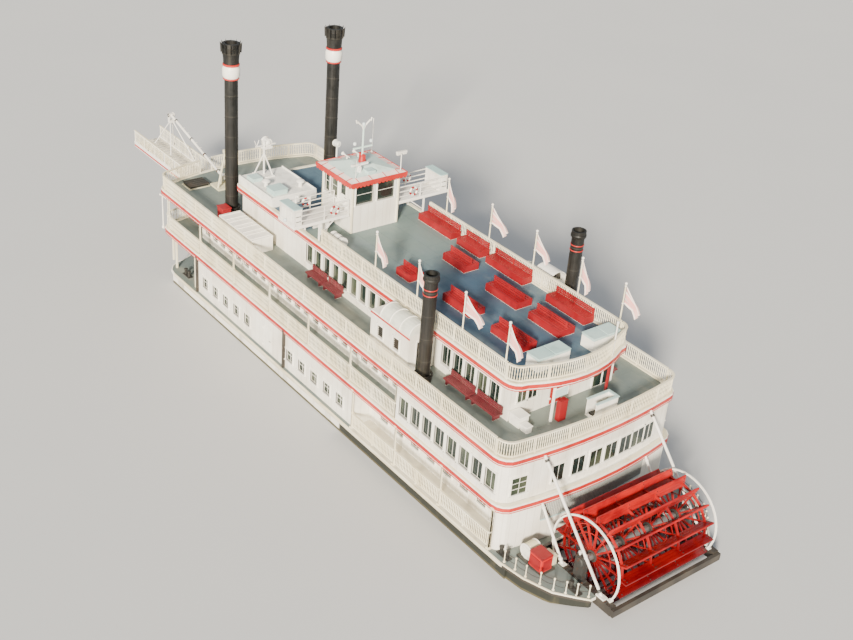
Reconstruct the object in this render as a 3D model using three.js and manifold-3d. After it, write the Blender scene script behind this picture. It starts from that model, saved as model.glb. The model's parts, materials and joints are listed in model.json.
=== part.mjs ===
// Stern-wheel river excursion boat, a scale model at one to two.
// Every size below is the real boat's, in metres. X runs towards the bow from amidships, Y to port,
// and heights are measured from the waterline. The model is M millimetres to the real metre, and its
// origin is amidships on the centreline at the hull's flat bottom.
import * as THREE from 'three';
import { mergeVertices } from 'three/addons/utils/BufferGeometryUtils.js';
import Module from 'manifold-3d';

const wasm = await Module();
wasm.setup();

// Scale and the clearances between pieces
const M = 500;
const GAP = 0.0006;
const RUNNING_GAP = 0.0016;
const DOOR_GAP = 0.016;

// Hull and heights
const DRAFT = 1.7;
const PLATE = 0.22;
const MAIN_Z = 1.2;
const SECOND_Z = 4.33;
const THIRD_Z = 7.34;
const TOP_Z = 10.13;
const HULL_HALF = 6.72;
const BILGE = 0.45;
const WELL_HALF = 4.34;
const WELL_FORE = -20.62;
const RUN_Z = -0.35;
// Port edge of the arm beside the wheel well
const FANTAIL = [[-20.4, 6.9], [-22.0, 6.7], [-23.7, 6.1], [-24.7, 5.3], [-25.3, 4.75]];

// Deck outlines: side half-breadth, corner line and bow of the aft edge, the same for the fore edge
const DECKS = {
  main: { half: 6.95, aft: -19.7, aftBow: 0.5, aftCorner: 0.9, fore: 19.6, foreBow: 1.6, foreCorner: 1.6 },
  second: { half: 6.81, aft: -19.9, aftBow: 0.55, aftCorner: 0.9, fore: 20.2, foreBow: 0.9, foreCorner: 0.9 },
  third: {
    half: 6.81, aft: -19.65, aftBow: 0.42, aftCorner: 0.95, fore: 20.7, foreBow: 0.9, foreCorner: 0.9,
  },
  top: { half: 4.54, aft: -17.35, aftBow: 0.9, aftCorner: 0.9, fore: 13.0, foreBow: 0.35, foreCorner: 0.5 },
};

// Cabins
const WALL = 0.12;
const GLASS = 0.03;
const MAIN_HOUSE = { fore: 15.0, recess: -5.5, half: 6.72, inset: 5.3, aft: -19.2 };
const SECOND_HOUSE = { fore: 16.8, inset: 5.2, step: -9.8, margin: 0.1 };
const THIRD_HOUSE = { fore: 12.7, aft: -16.6, half: 4.12 };
const PILOT = { aft: 2.5, fore: 5.9, half: 1.87, floor: 11.6, top: 13.72 };
// Its lights: sill and head, y of the two in each end wall, x of the two in each side wall
const PILOT_LIGHTS = {
  sill: 12.1, head: 13.45, ends: [[0.14, 1.58], [-1.58, -0.14]], sides: [[4.15, 4.95], [5.1, 5.72]],
};

// Side windows: first and last centre, count, width, sill and head, cut through both sides
const SIDE_WINDOWS = {
  main: [
    { from: 13.6, to: 7.6, count: 5, width: 0.8, sill: 1.95, head: 2.8 },
    { from: 2.0, to: -4.0, count: 5, width: 0.8, sill: 1.95, head: 2.8 },
    { from: -7.0, to: -18.2, count: 8, width: 0.8, sill: 1.95, head: 2.8 },
  ],
  second: [
    { from: 15.9, to: -8.9, count: 23, width: 0.72, sill: 4.95, head: 6.25 },
    { from: -10.55, to: -18.5, count: 8, width: 0.9, sill: 4.95, head: 6.25 },
  ],
  third: [
    { from: 3.9, to: -5.4, count: 10, width: 0.8, sill: 7.9, head: 9.25 },
    { from: -10.9, to: -15.3, count: 5, width: 0.88, sill: 7.9, head: 9.25 },
  ],
};
// End windows: breadth from and to, sill and head
const AFT_WINDOWS = {
  second: [
    [6.0, 5.1], [3.25, 2.55], [1.83, 1.03], [0.51, -0.32], [-0.7, -1.55], [-1.93, -2.79],
    [-2.97, -3.94], [-4.12, -4.86],
  ],
  third: [[3.5, 2.95], [2.7, 2.15]],
};
const AFT_SILL = { second: [4.85, 5.8], third: [8.45, 9.15] };
const FORE_WINDOWS = { second: [-3.9, -2.0, 2.0, 3.9], third: [-3.0, -1.2, 1.2, 3.0] };

// Railings
const RAIL = { height: 1.08, bar: 0.07, foot: 0.14, inset: 0.1, post: 0.07, step: 2.4 };
const STANCHION = 0.1;
// Space between a side run's end and the start of a curved run, and half the gate in the bow rail
const RUN_GAP = 0.11;
const GATE = 0.5;

// Hinged doors. Each leaf lies in its doorway with its outer face flush, and its hinge line stands
// just proud of that face. face is the wall's outer face.
const LEAF = 0.06;
const KNUCKLE = { radius: 0.03, out: 0.045, half: 0.09, places: [0.3, 1.6] };
const DOORS = {
  gangway: { x: 5.4, width: 1.1, low: MAIN_Z + 0.02, height: 2.0, face: MAIN_HOUSE.half },
  pilot: { x: 3.9, width: 0.8, low: PILOT.floor + 0.12, height: 1.85, face: PILOT.half },
  aft: { y: 0.95, width: 0.9, low: THIRD_Z + 0.02, height: 1.95, face: THIRD_HOUSE.aft },
};

// Paddle wheel, its shaft and what carries it
const WHEEL = { x: -23.7, z: 2.4, radius: 2.75, half: 3.5, paddles: 16, depth: 0.72, board: 0.07 };
const SPIDERS = { y: [-3.3, -1.1, 1.1, 3.3], thick: 0.1, ring: 2.32, bar: 0.12, hub: 0.42, spoke: 0.1 };
const SHAFT = { radius: 0.2, end: 4.24, sides: 32 };
const BEAM = { inner: 3.92, outer: 4.32, low: 0.62, high: 1.2, aft: -26.4 };
const STERN_BEAM = { aft: -26.62, fore: -26.4, low: 0.66, high: 1.12 };
const GUARD = { radius: 2.6, bar: 0.09, y: 3.86 };
const BEARING = { half: 0.34, inner: 3.94, outer: 4.3, shoulder: 2.45, top: 2.72 };
const STRUT = { top: [-19.86, 7.1], foot: [-25.5, 1.24], y: 4.14, radius: 0.085 };
const BRACE = { foot: [-22.4, 4.12, 1.15], head: [-19.95, 4.12, 4.3], radius: 0.08 };

// Rudders
const RUDDER = { x: -19.0, y: 2.6, fore: -18.0, aft: -20.3, low: -1.6, high: -0.42, thick: 0.14, stock: 0.1 };

// Stacks: place, foot height, top height, radius
const STACKS = {
  tall: { x: 14.14, y: 4.2, top: 19.96, radius: 0.47, crown: 0.6, crownHeight: 0.5 },
  short: { x: -10.79, y: 5.66, top: 14.42, radius: 0.4, crown: 0.46, crownHeight: 0.35 },
};

// Landing stage and its boom
const BOOM = { y: 2.4, footX: 18.6, footZ: 7.95, tipX: 26.92, tipZ: 10.04, radius: 0.1 };
const STAGE = { aft: 22.6, fore: 31.3, half: 1.2, low: 6.12, high: 6.3, rail: 1.05, post: 0.06 };
const PIN = { radius: 0.07, half: 0.23 };

// Bridge wings, stair houses and the walkway lockers ahead of the third deck windows
const WING = { aft: 2.6, fore: 4.4, inner: PILOT.half + 0.05, outer: 6.2, low: 11.45, high: 11.55 };
const STAIR = { fore: -6.0, aft: -9.8, outer: 6.1, top: TOP_Z - PLATE - 0.03 };
const HOOD = { aft: -9.8, fore: -6.9, y: 5.35, half: 0.74, springing: 9.86, rise: 0.68 };
const LOCKER = { aft: 7.6, fore: 12.2, inner: 4.7, outer: 6.3, top: 8.35 };

// Top deck furniture: centre x, centre y, length, breadth of each bench
const BENCHES = [
  [0.3, -3.9, 3.6, 0.85], [-3.3, -3.9, 2.4, 0.85], [-6.9, -3.9, 3.6, 0.85], [-12.6, -3.9, 3.4, 0.85],
  [-4.5, -1.9, 2.2, 1.2], [-9.4, -1.75, 2.9, 1.3], [-13.3, -1.75, 2.7, 1.3],
  [-4.2, 1.95, 1.4, 1.1], [-8.9, 1.4, 2.6, 1.2], [-13.4, 1.3, 2.7, 1.2],
];
const BENCH_HEIGHT = 0.46;
const FORE_BLOCK = { aft: 8.3, fore: 12.8, inner: 0.8, outer: 4.38, top: 10.75 };
const BINS = { aft: -16.8, fore: -15.8, top: 10.95, breadths: [[0.05, 2.45], [-3.95, -1.8]] };
const RAFTS = { radius: 0.34, z: 10.75, places: [[0.55, 1.81, 3.75], [3.35, 4.61, 3.3]] };
const LAMP_POST = { x: 12.4, y: -3.6, top: 11.7, lamp: 0.24 };

// Third deck furniture: centre and length of each bench along the cabin, then boxes on the deck by
// their four sides and top, the posts under the top deck's aft edge, and the stair's coaming
const WALL_BENCH = { inner: 4.24, outer: 4.86, low: 7.67, seat: 7.74, back: 8.2 };
const WALL_BENCHES = [[2.35, 1.75], [0.45, 1.75], [-12.8, 2.25], [-15.2, 2.25]];
const DECK_BOXES = [
  [-17.5, -16.7, 3.35, 4.05, 8.0], [-18.1, -17.6, 3.6, 4.0, 7.7], [18.9, 20.0, 3.5, 5.0, 7.56],
  [13.1, 13.9, 4.85, 5.5, 8.2],
];
const AFT_POSTS = [[-17.88, 1.99], [-17.74, -2.4]];
const COAMING = { aft: -19.2, fore: -18.42, stbd: -1.9, port: -0.2, top: 8.42, wall: 0.08, sill: 7.5 };

// Davit at each fore corner of the second deck, foremast on the fore block, fantail gear
const DAVIT = { x: 19.9, root: 6.3, y: 6.84, low: 4.15, top: 6.8, reach: 0.45, radius: 0.05 };
const FOREMAST = { x: 12.2, y: 2.7, top: 13.3, crotch: 12.4, lamp: 0.3 };
const FANTAIL_GEAR = {
  base: [-22.5, -20.45, 4.8, 5.85],
  box: [-22.4, -21.4, 5.0, 5.8, 2.18],
  drum: [-20.95, 4.85, 5.65, 1.75, 0.42],
};
const FLAG_POLES = { port: [-3.85, -8.1, -12.4, -16.2], stbd: [0.3, -4.2, -8.5, -12.6, -16.2] };
const POLE = { top: 13.6, radius: 0.045 };

const SIDES = [['port', 1], ['stbd', -1]];
const COLOUR = {
  white: 0xe9e6dc, cream: 0xe4dcc2, deck: 0x8b9a92, topDeck: 0x4f6b7d, red: 0xc4181c,
  hull: 0x23261f, black: 0x1c1c1a, glass: 0x27332e, timber: 0x2b2926, steel: 0x8b8d8a,
};

// Solids. Each helper takes real metres and gives a manifold solid.
function solid(geometry) {
  geometry.deleteAttribute('normal');
  geometry.deleteAttribute('uv');
  const merged = mergeVertices(geometry, 1e-5);
  return new wasm.Manifold(new wasm.Mesh({
    numProp: 3,
    vertProperties: new Float32Array(merged.attributes.position.array),
    triVerts: new Uint32Array(merged.index.array),
  }));
}

function boxGeometry(x0, x1, y0, y1, z0, z1) {
  const geometry = new THREE.BoxGeometry(Math.abs(x1 - x0), Math.abs(y1 - y0), Math.abs(z1 - z0));
  geometry.translate((x0 + x1) / 2, (y0 + y1) / 2, (z0 + z1) / 2);
  return geometry;
}

function box(...sides) {
  return solid(boxGeometry(...sides));
}

function extrude(points, depth, holes = []) {
  const shape = new THREE.Shape(points.map(([u, v]) => new THREE.Vector2(u, v)));
  for (const hole of holes) {
    shape.holes.push(new THREE.Path(hole.map(([u, v]) => new THREE.Vector2(u, v))));
  }
  return new THREE.ExtrudeGeometry(shape, { depth, bevelEnabled: false });
}

// Plan outline raised from z0 to z1
function prism(points, z0, z1) {
  const geometry = extrude(points, z1 - z0);
  geometry.translate(0, 0, z0);
  return solid(geometry);
}

// Side view outline of x and z, taken across the boat from y0 to y1
function across(points, y0, y1, holes = []) {
  const geometry = extrude(points, Math.abs(y1 - y0), holes);
  geometry.rotateX(Math.PI / 2);
  geometry.translate(0, Math.max(y0, y1), 0);
  return solid(geometry);
}

// Cross-section of y and z, taken along the boat from x0 to x1
function along(points, x0, x1) {
  const geometry = extrude(points, x1 - x0);
  geometry.applyMatrix4(new THREE.Matrix4().set(0, 0, 1, x0, 1, 0, 0, 0, 0, 1, 0, 0, 0, 0, 0, 1));
  return solid(geometry);
}

function rod(from, to, radius, sides = 8) {
  const a = new THREE.Vector3(...from);
  const b = new THREE.Vector3(...to);
  const geometry = new THREE.CylinderGeometry(radius, radius, a.distanceTo(b), sides);
  const turn = new THREE.Quaternion().setFromUnitVectors(
    new THREE.Vector3(0, 1, 0), b.clone().sub(a).normalize());
  geometry.applyQuaternion(turn);
  const middle = a.add(b).multiplyScalar(0.5);
  geometry.translate(middle.x, middle.y, middle.z);
  return solid(geometry);
}

// Turned solid about a vertical line, from a closed profile of radius and height
function turned(profile, x, y, sides) {
  const geometry = new THREE.LatheGeometry(profile.map(([r, z]) => new THREE.Vector2(r, z)), sides);
  geometry.rotateX(Math.PI / 2);
  geometry.translate(x, y, 0);
  return solid(geometry);
}

function circle(x, z, radius, sides, from = 0, sweep = 2 * Math.PI) {
  const closed = sweep >= 2 * Math.PI;
  const points = [];
  for (let i = 0; i < (closed ? sides : sides + 1); i++) {
    const angle = from + (sweep * i) / sides;
    points.push([x + radius * Math.cos(angle), z + radius * Math.sin(angle)]);
  }
  return points;
}

function join(solids) {
  return wasm.Manifold.union(solids);
}

const boat = new THREE.Group();
function piece(name, body, color, roughness = 0.6, metalness = 0) {
  const { vertProperties, triVerts } = body.asOriginal().getMesh();
  const geometry = new THREE.BufferGeometry();
  geometry.setAttribute('position', new THREE.BufferAttribute(new Float32Array(vertProperties), 3));
  geometry.setIndex(new THREE.BufferAttribute(new Uint32Array(triVerts), 1));
  geometry.translate(0, 0, DRAFT);
  geometry.scale(M, M, M);
  const mesh = new THREE.Mesh(geometry, new THREE.MeshStandardMaterial({ color, roughness, metalness }));
  mesh.name = name;
  boat.add(mesh);
}

// Deck outlines
function aftEdge(deck, inset = 0) {
  const half = deck.half - inset;
  const radius = Math.max(deck.aftCorner - inset, 0.1);
  const line = deck.aft + inset;
  const points = [];
  for (let i = 0; i <= 4; i++) {
    const angle = (Math.PI / 8) * i;
    points.push([line + radius - radius * Math.sin(angle), half - radius + radius * Math.cos(angle)]);
  }
  for (let i = 1; i < 8; i++) {
    const t = 1 - i / 4;
    points.push([line - deck.aftBow * (1 - t * t), t * (half - radius)]);
  }
  const port = points.slice(0, 5);
  return [...points, ...port.map(([x, y]) => [x, -y]).reverse()];
}

function foreEdge(deck, inset = 0) {
  const turnedDeck = { ...deck, aft: -deck.fore, aftBow: deck.foreBow, aftCorner: deck.foreCorner };
  return aftEdge(turnedDeck, inset).map(([x, y]) => [-x, -y]);
}

function outline(deck, inset = 0) {
  return [...aftEdge(deck, inset), ...foreEdge(deck, inset)];
}

function deckPlate(deck, z) {
  return prism(outline(deck), z - PLATE, z);
}

// Hull: side view, plan and cross-section met in one solid, less the wheel well
function arms(inset, z0, z1) {
  const port = FANTAIL.map(([x, y]) => [x + inset, y - inset]);
  const plan = [[-19, DECKS.main.half - inset], ...port, [port.at(-1)[0], WELL_HALF], [-19, WELL_HALF]];
  return join([prism(plan, z0, z1), prism(plan.map(([x, y]) => [x, -y]), z0, z1)]);
}

function hull() {
  const top = MAIN_Z - PLATE - GAP;
  const profile = [
    [-25.2, top], [-25.2, 0.3], [WELL_FORE, RUN_Z], [-17.6, RUN_Z], [-16.0, -DRAFT], [14.2, -DRAFT],
    [20.6, 0.1], [21.1, top],
  ];
  const section = [
    [HULL_HALF, top], [HULL_HALF, BILGE - DRAFT], [HULL_HALF - BILGE, -DRAFT],
    [BILGE - HULL_HALF, -DRAFT], [-HULL_HALF, BILGE - DRAFT], [-HULL_HALF, top],
  ];
  const margin = DECKS.main.half - HULL_HALF;
  const body = prism(outline({ ...DECKS.main, aft: WELL_FORE, aftBow: 0, aftCorner: 0.3 }), -DRAFT, top);
  const plan = join([body, arms(margin, -DRAFT, top)]);
  return plan.intersect(across(profile, -8, 8)).intersect(along(section, -30, 30));
}

function mainDeck() {
  const low = MAIN_Z - PLATE;
  const fore = prism([...foreEdge(DECKS.main), [WELL_FORE, DECKS.main.half], [WELL_FORE, -DECKS.main.half]],
    low, MAIN_Z);
  return join([fore, arms(0, low, MAIN_Z)]);
}

// Cabins: the plan at an inset, from z0 to z1
function mainPlan(inset, z0, z1) {
  const { fore, recess, half, inset: narrow, aft } = MAIN_HOUSE;
  const rear = prism(outline(DECKS.second, SECOND_HOUSE.margin + inset), z0, z1)
    .intersect(box(-30, aft - inset, -9, 9, z0, z1));
  return join([
    rear,
    box(aft - 0.6 + inset, fore - inset, -narrow + inset, narrow - inset, z0, z1),
    box(recess + inset, fore - inset, -half + inset, half - inset, z0, z1),
  ]);
}

function secondPlan(inset, z0, z1) {
  const { fore, inset: narrow, step, margin } = SECOND_HOUSE;
  const rear = prism(outline(DECKS.third, margin + inset), z0, z1)
    .intersect(box(-30, step - inset, -9, 9, z0, z1));
  return join([rear, box(step - 2, fore - inset, -narrow + inset, narrow - inset, z0, z1)]);
}

function thirdPlan(inset, z0, z1) {
  const { fore, aft, half } = THIRD_HOUSE;
  return box(aft + inset, fore - inset, -half + inset, half - inset, z0, z1);
}

function windowCuts(group) {
  const cuts = [];
  for (const row of SIDE_WINDOWS[group]) {
    const pitch = (row.to - row.from) / (row.count - 1);
    for (let i = 0; i < row.count; i++) {
      const x = row.from + pitch * i;
      cuts.push(box(x - row.width / 2, x + row.width / 2, -9, 9, row.sill, row.head));
    }
  }
  for (const [y0, y1] of AFT_WINDOWS[group] ?? []) {
    const [sill, head] = AFT_SILL[group];
    cuts.push(box(-22, -15.5, y0, y1, sill, head));
  }
  for (const y of FORE_WINDOWS[group] ?? []) {
    const { sill, head } = SIDE_WINDOWS[group][0];
    cuts.push(box(10, 20, y - 0.4, y + 0.4, sill, head));
  }
  return cuts;
}

// Walls with their windows and doorways cut, and the glass band that runs round inside them
function cabin(plan, z0, z1, cuts) {
  return plan(0, z0, z1).subtract(plan(WALL, z0 - 1, z1 + 1)).subtract(join(cuts));
}

function glazing(plan, z0, z1, doorways = []) {
  const outer = WALL + GAP;
  const band = plan(outer, z0, z1).subtract(plan(outer + GLASS, z0 - 1, z1 + 1));
  return doorways.length ? band.subtract(join(doorways)) : band;
}

function doorway(door, side) {
  const x1 = door.x + DOOR_GAP;
  const x0 = door.x - door.width - DOOR_GAP;
  return box(x0, x1, side * (door.face - 1), side * (door.face + 1), door.low, door.low + door.height);
}

function knuckles(x, y, low, upper) {
  const shift = upper ? KNUCKLE.half + GAP : 0;
  return KNUCKLE.places.map((z) => rod(
    [x, y, low + z + shift], [x, y, low + z + shift + KNUCKLE.half], KNUCKLE.radius, 8));
}

// Pins on the wall side of a hinge, each with an arm along the jamb and a root in the wall. The hinge
// line is at x and y, [jx, jy] points along the jamb and [ix, iy] into the boat.
function hingePins(x, y, low, [jx, jy], [ix, iy]) {
  const pins = knuckles(x, y, low, true);
  for (const place of KNUCKLE.places) {
    const z0 = low + place + KNUCKLE.half + GAP + 0.02;
    const z1 = low + place + 2 * KNUCKLE.half - 0.02;
    const root = DOOR_GAP + 0.004;
    const depth = KNUCKLE.out + 0.05;
    pins.push(box(x - 0.02 * ix, x + 0.1 * jx + 0.02 * ix, y - 0.02 * iy, y + 0.1 * jy + 0.02 * iy, z0, z1));
    pins.push(box(x + root * jx - 0.02 * ix, x + 0.1 * jx + depth * ix, y + root * jy - 0.02 * iy,
      y + 0.1 * jy + depth * iy, z0, z1));
  }
  return pins;
}

function sideDoorPins(door, side) {
  return hingePins(door.x, side * (door.face + KNUCKLE.out), door.low, [1, 0], [0, -side]);
}

function sideDoor(door, side) {
  const y = side * (door.face + KNUCKLE.out);
  const low = door.low + DOOR_GAP;
  const high = door.low + door.height - DOOR_GAP;
  const leaf = box(door.x - door.width, door.x, side * door.face, side * (door.face - LEAF), low, high);
  const tabs = KNUCKLE.places.map((z) => box(door.x - 0.1, door.x, side * (door.face - LEAF), y,
    door.low + z + 0.02, door.low + z + KNUCKLE.half - 0.02));
  return join([leaf, ...tabs, ...knuckles(door.x, y, door.low, false)]);
}

// Railings: a top and a bottom bar along an edge, with posts, and taller stanchions where given
function ribbon(edge, inset0, inset1, z0, z1) {
  return prism([...edge(inset0), ...edge(inset1).reverse()], z0, z1);
}

function spread(points, step) {
  const length = points.slice(1).reduce((sum, p, i) => sum + Math.hypot(
    p[0] - points[i][0], p[1] - points[i][1]), 0);
  const count = Math.max(1, Math.round(length / step));
  const places = [];
  for (let k = 0; k <= count; k++) {
    let left = (length * k) / count;
    for (let i = 1; i < points.length; i++) {
      const [ax, ay] = points[i - 1];
      const [bx, by] = points[i];
      const part = Math.hypot(bx - ax, by - ay);
      if (left <= part + 1e-9 || i === points.length - 1) {
        const t = Math.min(left / part, 1);
        places.push([ax + (bx - ax) * t, ay + (by - ay) * t]);
        break;
      }
      left -= part;
    }
  }
  return places;
}

function post(x, y, size, z0, z1) {
  return box(x - size / 2, x + size / 2, y - size / 2, y + size / 2, z0, z1);
}

function railing(edge, z, { step = RAIL.step, roof = 0, every = 2, poles = [] } = {}) {
  const { height, bar, foot, inset, post: size } = RAIL;
  const base = z + GAP;
  const middle = edge(inset + bar / 2);
  const posts = spread(middle, step).map(([x, y], i) => {
    const tall = roof > 0 && i % every === 0;
    return post(x, y, tall ? STANCHION : size, base, tall ? roof - GAP : z + height - bar / 2);
  });
  const masts = poles.map(([x, y]) => rod([x, y, z + height - bar], [x, y, POLE.top], POLE.radius, 6));
  return join([
    ribbon(edge, inset, inset + bar, z + height - bar, z + height),
    ribbon(edge, inset, inset + bar, z + foot, z + foot + bar),
    ...posts, ...masts,
  ]);
}

function straight(deck, side, x0, x1) {
  return (inset) => [[x0, side * (deck.half - inset)], [x1, side * (deck.half - inset)]];
}

// The third deck's bow rail is open where the boom comes down, with a post at each side of the gate
function bowRail(side) {
  const edge = (inset) => foreEdge(DECKS.third, inset);
  const line = edge(RAIL.inset + RAIL.bar / 2);
  const y = BOOM.y + side * GATE;
  const i = line.findIndex((point) => point[1] > y);
  const [[ax, ay], [bx, by]] = [line[i - 1], line[i]];
  const x = ax + ((bx - ax) * (y - ay)) / (by - ay);
  const kept = box(15, 25, y, side * 9, THIRD_Z, THIRD_Z + 2);
  const gatePost = post(x, y + (side * RAIL.post) / 2, RAIL.post, THIRD_Z + GAP, THIRD_Z + RAIL.height);
  return join([railing(edge, THIRD_Z).intersect(kept), gatePost]);
}

function sideEnds(deck) {
  return [deck.aft + deck.aftCorner + RUN_GAP, deck.fore - deck.foreCorner - RUN_GAP];
}

// Paddle wheel
function wheel() {
  const { x, z, radius, half, paddles, depth, board } = WHEEL;
  const parts = [];
  for (const y of SPIDERS.y) {
    const y0 = y - SPIDERS.thick / 2;
    const y1 = y + SPIDERS.thick / 2;
    parts.push(across(circle(x, z, SPIDERS.ring, paddles), y0, y1,
      [circle(x, z, SPIDERS.ring - SPIDERS.bar, paddles)]));
    parts.push(across(circle(x, z, SPIDERS.hub, paddles), y0, y1));
    for (let i = 0; i < paddles; i++) {
      parts.push(radial((2 * Math.PI * i) / paddles, SPIDERS.hub - 0.08, SPIDERS.ring - 0.05, y0, y1,
        SPIDERS.spoke));
    }
  }
  for (let i = 0; i < paddles; i++) {
    parts.push(radial((2 * Math.PI * i) / paddles, radius - depth, radius, -half, half, board));
  }
  const bore = across(circle(x, z, SHAFT.radius + RUNNING_GAP, SHAFT.sides), -5, 5);
  return join(parts).subtract(bore);
}

// Bar of the wheel that points out from its axis at an angle, from radius r0 to r1
function radial(angle, r0, r1, y0, y1, thick) {
  const geometry = boxGeometry(r0, r1, y0, y1, -thick / 2, thick / 2);
  geometry.rotateY(-angle);
  geometry.translate(WHEEL.x, 0, WHEEL.z);
  return solid(geometry);
}

function bearing(side) {
  const { half, inner, outer, shoulder, top } = BEARING;
  const { x, z } = WHEEL;
  const low = BEAM.high + GAP;
  const block = across([[x - half, low], [x + half, low], [x + half, top], [x - half / 3, top],
    [x - half, shoulder]], side * inner, side * outer);
  return block.subtract(across(circle(x, z, SHAFT.radius + RUNNING_GAP, SHAFT.sides), -5, 5));
}

// Beam beside the wheel well, with the brace that leans from it to the main cabin's aft wall
function wheelBeam(side) {
  const { aft, inner, outer, low, high } = BEAM;
  const [[fx, fy, fz], [hx, hy, hz]] = [BRACE.foot, BRACE.head];
  const beam = box(aft, WELL_FORE - GAP, side * inner, side * outer, low, high);
  const plate = box(fx - 0.2, fx + 0.2, side * (fy - 0.16), side * (fy + 0.16), high - 0.02, high + 0.05);
  const brace = rod([fx, side * fy, fz], [hx, side * hy, hz], BRACE.radius, 8);
  const under = box(aft, 0, -9, 9, low, SECOND_Z - PLATE - GAP);
  return join([beam, plate, brace.intersect(under).subtract(mainPlan(-GAP, MAIN_Z, SECOND_Z))]);
}

function guard(side) {
  const low = BEAM.high + GAP;
  const lift = Math.asin((low - WHEEL.z) / GUARD.radius);
  const sweep = Math.PI - 2 * lift;
  const outer = circle(WHEEL.x, WHEEL.z, GUARD.radius, 28, lift, sweep);
  const inner = circle(WHEEL.x, WHEEL.z, GUARD.radius - GUARD.bar, 28, lift, sweep).reverse();
  const hoop = across([...outer, ...inner], side * GUARD.y - GUARD.bar / 2, side * GUARD.y + GUARD.bar / 2);
  const feet = [-1, 1].map((end) => {
    const x = WHEEL.x + end * (GUARD.radius * Math.cos(lift) - GUARD.bar / 2);
    return box(x - 0.12, x + 0.12, side * (GUARD.y - 0.045), side * (BEAM.inner + 0.15), low, low + 0.06);
  });
  return join([hoop, ...feet]).intersect(box(-30, -15, -9, 9, low, 9));
}

function strut(side) {
  const [x0, z0] = STRUT.foot;
  const [x1, z1] = STRUT.top;
  const y = side * STRUT.y;
  const bar = rod([x0, y, z0], [x1, y, z1], STRUT.radius, 8);
  const foot = box(x0 - 0.3, x0 + 0.3, y - 0.16, y + 0.16, BEAM.high + GAP, BEAM.high + 0.1);
  const cut = box(-30, 0, -9, 9, BEAM.high + GAP, THIRD_Z - PLATE - GAP);
  return join([bar, foot]).intersect(cut);
}

function rudder(side) {
  const { x, y, fore, aft, low, high, thick, stock } = RUDDER;
  const yc = side * y;
  const blade = prism([
    [fore, yc], [fore - 0.5, yc + thick / 2], [aft, yc + 0.03], [aft, yc - 0.03],
    [fore - 0.5, yc - thick / 2],
  ], low, high);
  return join([blade, rod([x, yc, low + 0.2], [x, yc, RUN_Z - GAP], stock, 12)]);
}

// Stacks, open at the top, with a crown ring
function stack({ x, y, top, radius, crown, crownHeight }, side) {
  const low = THIRD_Z + GAP;
  const inner = radius - 0.06;
  const throat = top - 1.2;
  const profile = [
    [0, low], [radius + 0.12, low], [radius + 0.12, low + 0.25], [radius, low + 0.4],
    [radius, top - crownHeight], [crown, top - crownHeight * 0.6], [crown, top], [inner, top],
    [inner, throat], [0, throat],
  ];
  return turned(profile, x, side * y, 20);
}

// Lamp drum that faces ahead
function searchlight(x, y, z, radius) {
  return rod([x - 0.7 * radius, y, z], [x + 0.85 * radius, y, z], radius, 12);
}

// Top deck with its benches, the low block ahead of the pilot house, bins aft, rafts and a lamp post
function topDeck() {
  const low = TOP_Z - 0.05;
  const rows = BENCHES.map(([x, y, length, width]) => box(
    x - length / 2, x + length / 2, y - width / 2, y + width / 2, low, TOP_Z + BENCH_HEIGHT));
  const { aft, fore, inner, outer, top } = FORE_BLOCK;
  const bins = BINS.breadths.map(([y0, y1]) => box(BINS.aft, BINS.fore, y0, y1, low, BINS.top));
  const rafts = RAFTS.places.flatMap(([x0, x1, y]) => [
    rod([x0, y, RAFTS.z], [x1, y, RAFTS.z], RAFTS.radius, 12),
    ...[x0 + 0.24, x1 - 0.24].map((x) => box(x - 0.04, x + 0.04, y - 0.3, y + 0.3, low, RAFTS.z - 0.2)),
  ]);
  const { x, y, top: postTop, lamp } = LAMP_POST;
  return join([
    deckPlate(DECKS.top, TOP_Z), box(aft, fore, inner, outer, low, top), ...rows, ...bins, ...rafts,
    rod([x, y, low], [x, y, postTop], 0.06, 8), searchlight(x, y, postTop + 0.15, lamp),
  ]);
}

// Second deck with a davit at each fore corner
function secondDeck() {
  const { x, root, y, low, top, reach, radius } = DAVIT;
  const davits = SIDES.flatMap(([, side]) => [
    box(x - 0.06, x + 0.06, side * root, side * (y + 0.05), low, low + 0.12),
    rod([x, side * y, low + 0.02], [x, side * y, top], radius, 8),
    rod([x - reach, side * (y - 0.1), top], [x + reach, side * (y - 0.02), top], radius, 8),
  ]);
  return join([deckPlate(DECKS.second, SECOND_Z), ...davits]);
}

// Third deck with the benches along its cabin, boxes, posts and the coaming of the stair
function thirdDeck() {
  const low = THIRD_Z - 0.05;
  const parts = [deckPlate(DECKS.third, THIRD_Z)];
  for (const [, side] of SIDES) {
    const { inner, outer, low: under, seat, back } = WALL_BENCH;
    const y = (v) => side * v;
    for (const [x, length] of WALL_BENCHES) {
      const [x0, x1] = [x - length / 2, x + length / 2];
      parts.push(box(x0, x1, y(inner), y(outer), under, seat));
      parts.push(box(x0, x1, y(inner + 0.03), y(inner + 0.07), back - 0.1, back - 0.02));
      for (const at of [x0 + 0.2, x1 - 0.2]) {
        parts.push(box(at - 0.04, at + 0.04, y(inner + 0.06), y(outer - 0.06), low, under + 0.02));
        parts.push(box(at - 0.03, at + 0.03, y(inner + 0.025), y(inner + 0.075), under, back));
      }
    }
  }
  for (const [x0, x1, y0, y1, top] of DECK_BOXES) parts.push(box(x0, x1, y0, y1, low, top));
  for (const [x, y] of AFT_POSTS) parts.push(post(x, y, 0.12, low, TOP_Z - PLATE - GAP));
  const { aft, fore, stbd, port, top, wall, sill } = COAMING;
  parts.push(box(aft, aft + wall, stbd, port, low, top), box(fore - wall, fore, stbd, port, low, top),
    box(aft, fore, stbd, stbd + wall, low, top), box(aft, fore, port - wall, port, low, sill));
  return join(parts);
}

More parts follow.
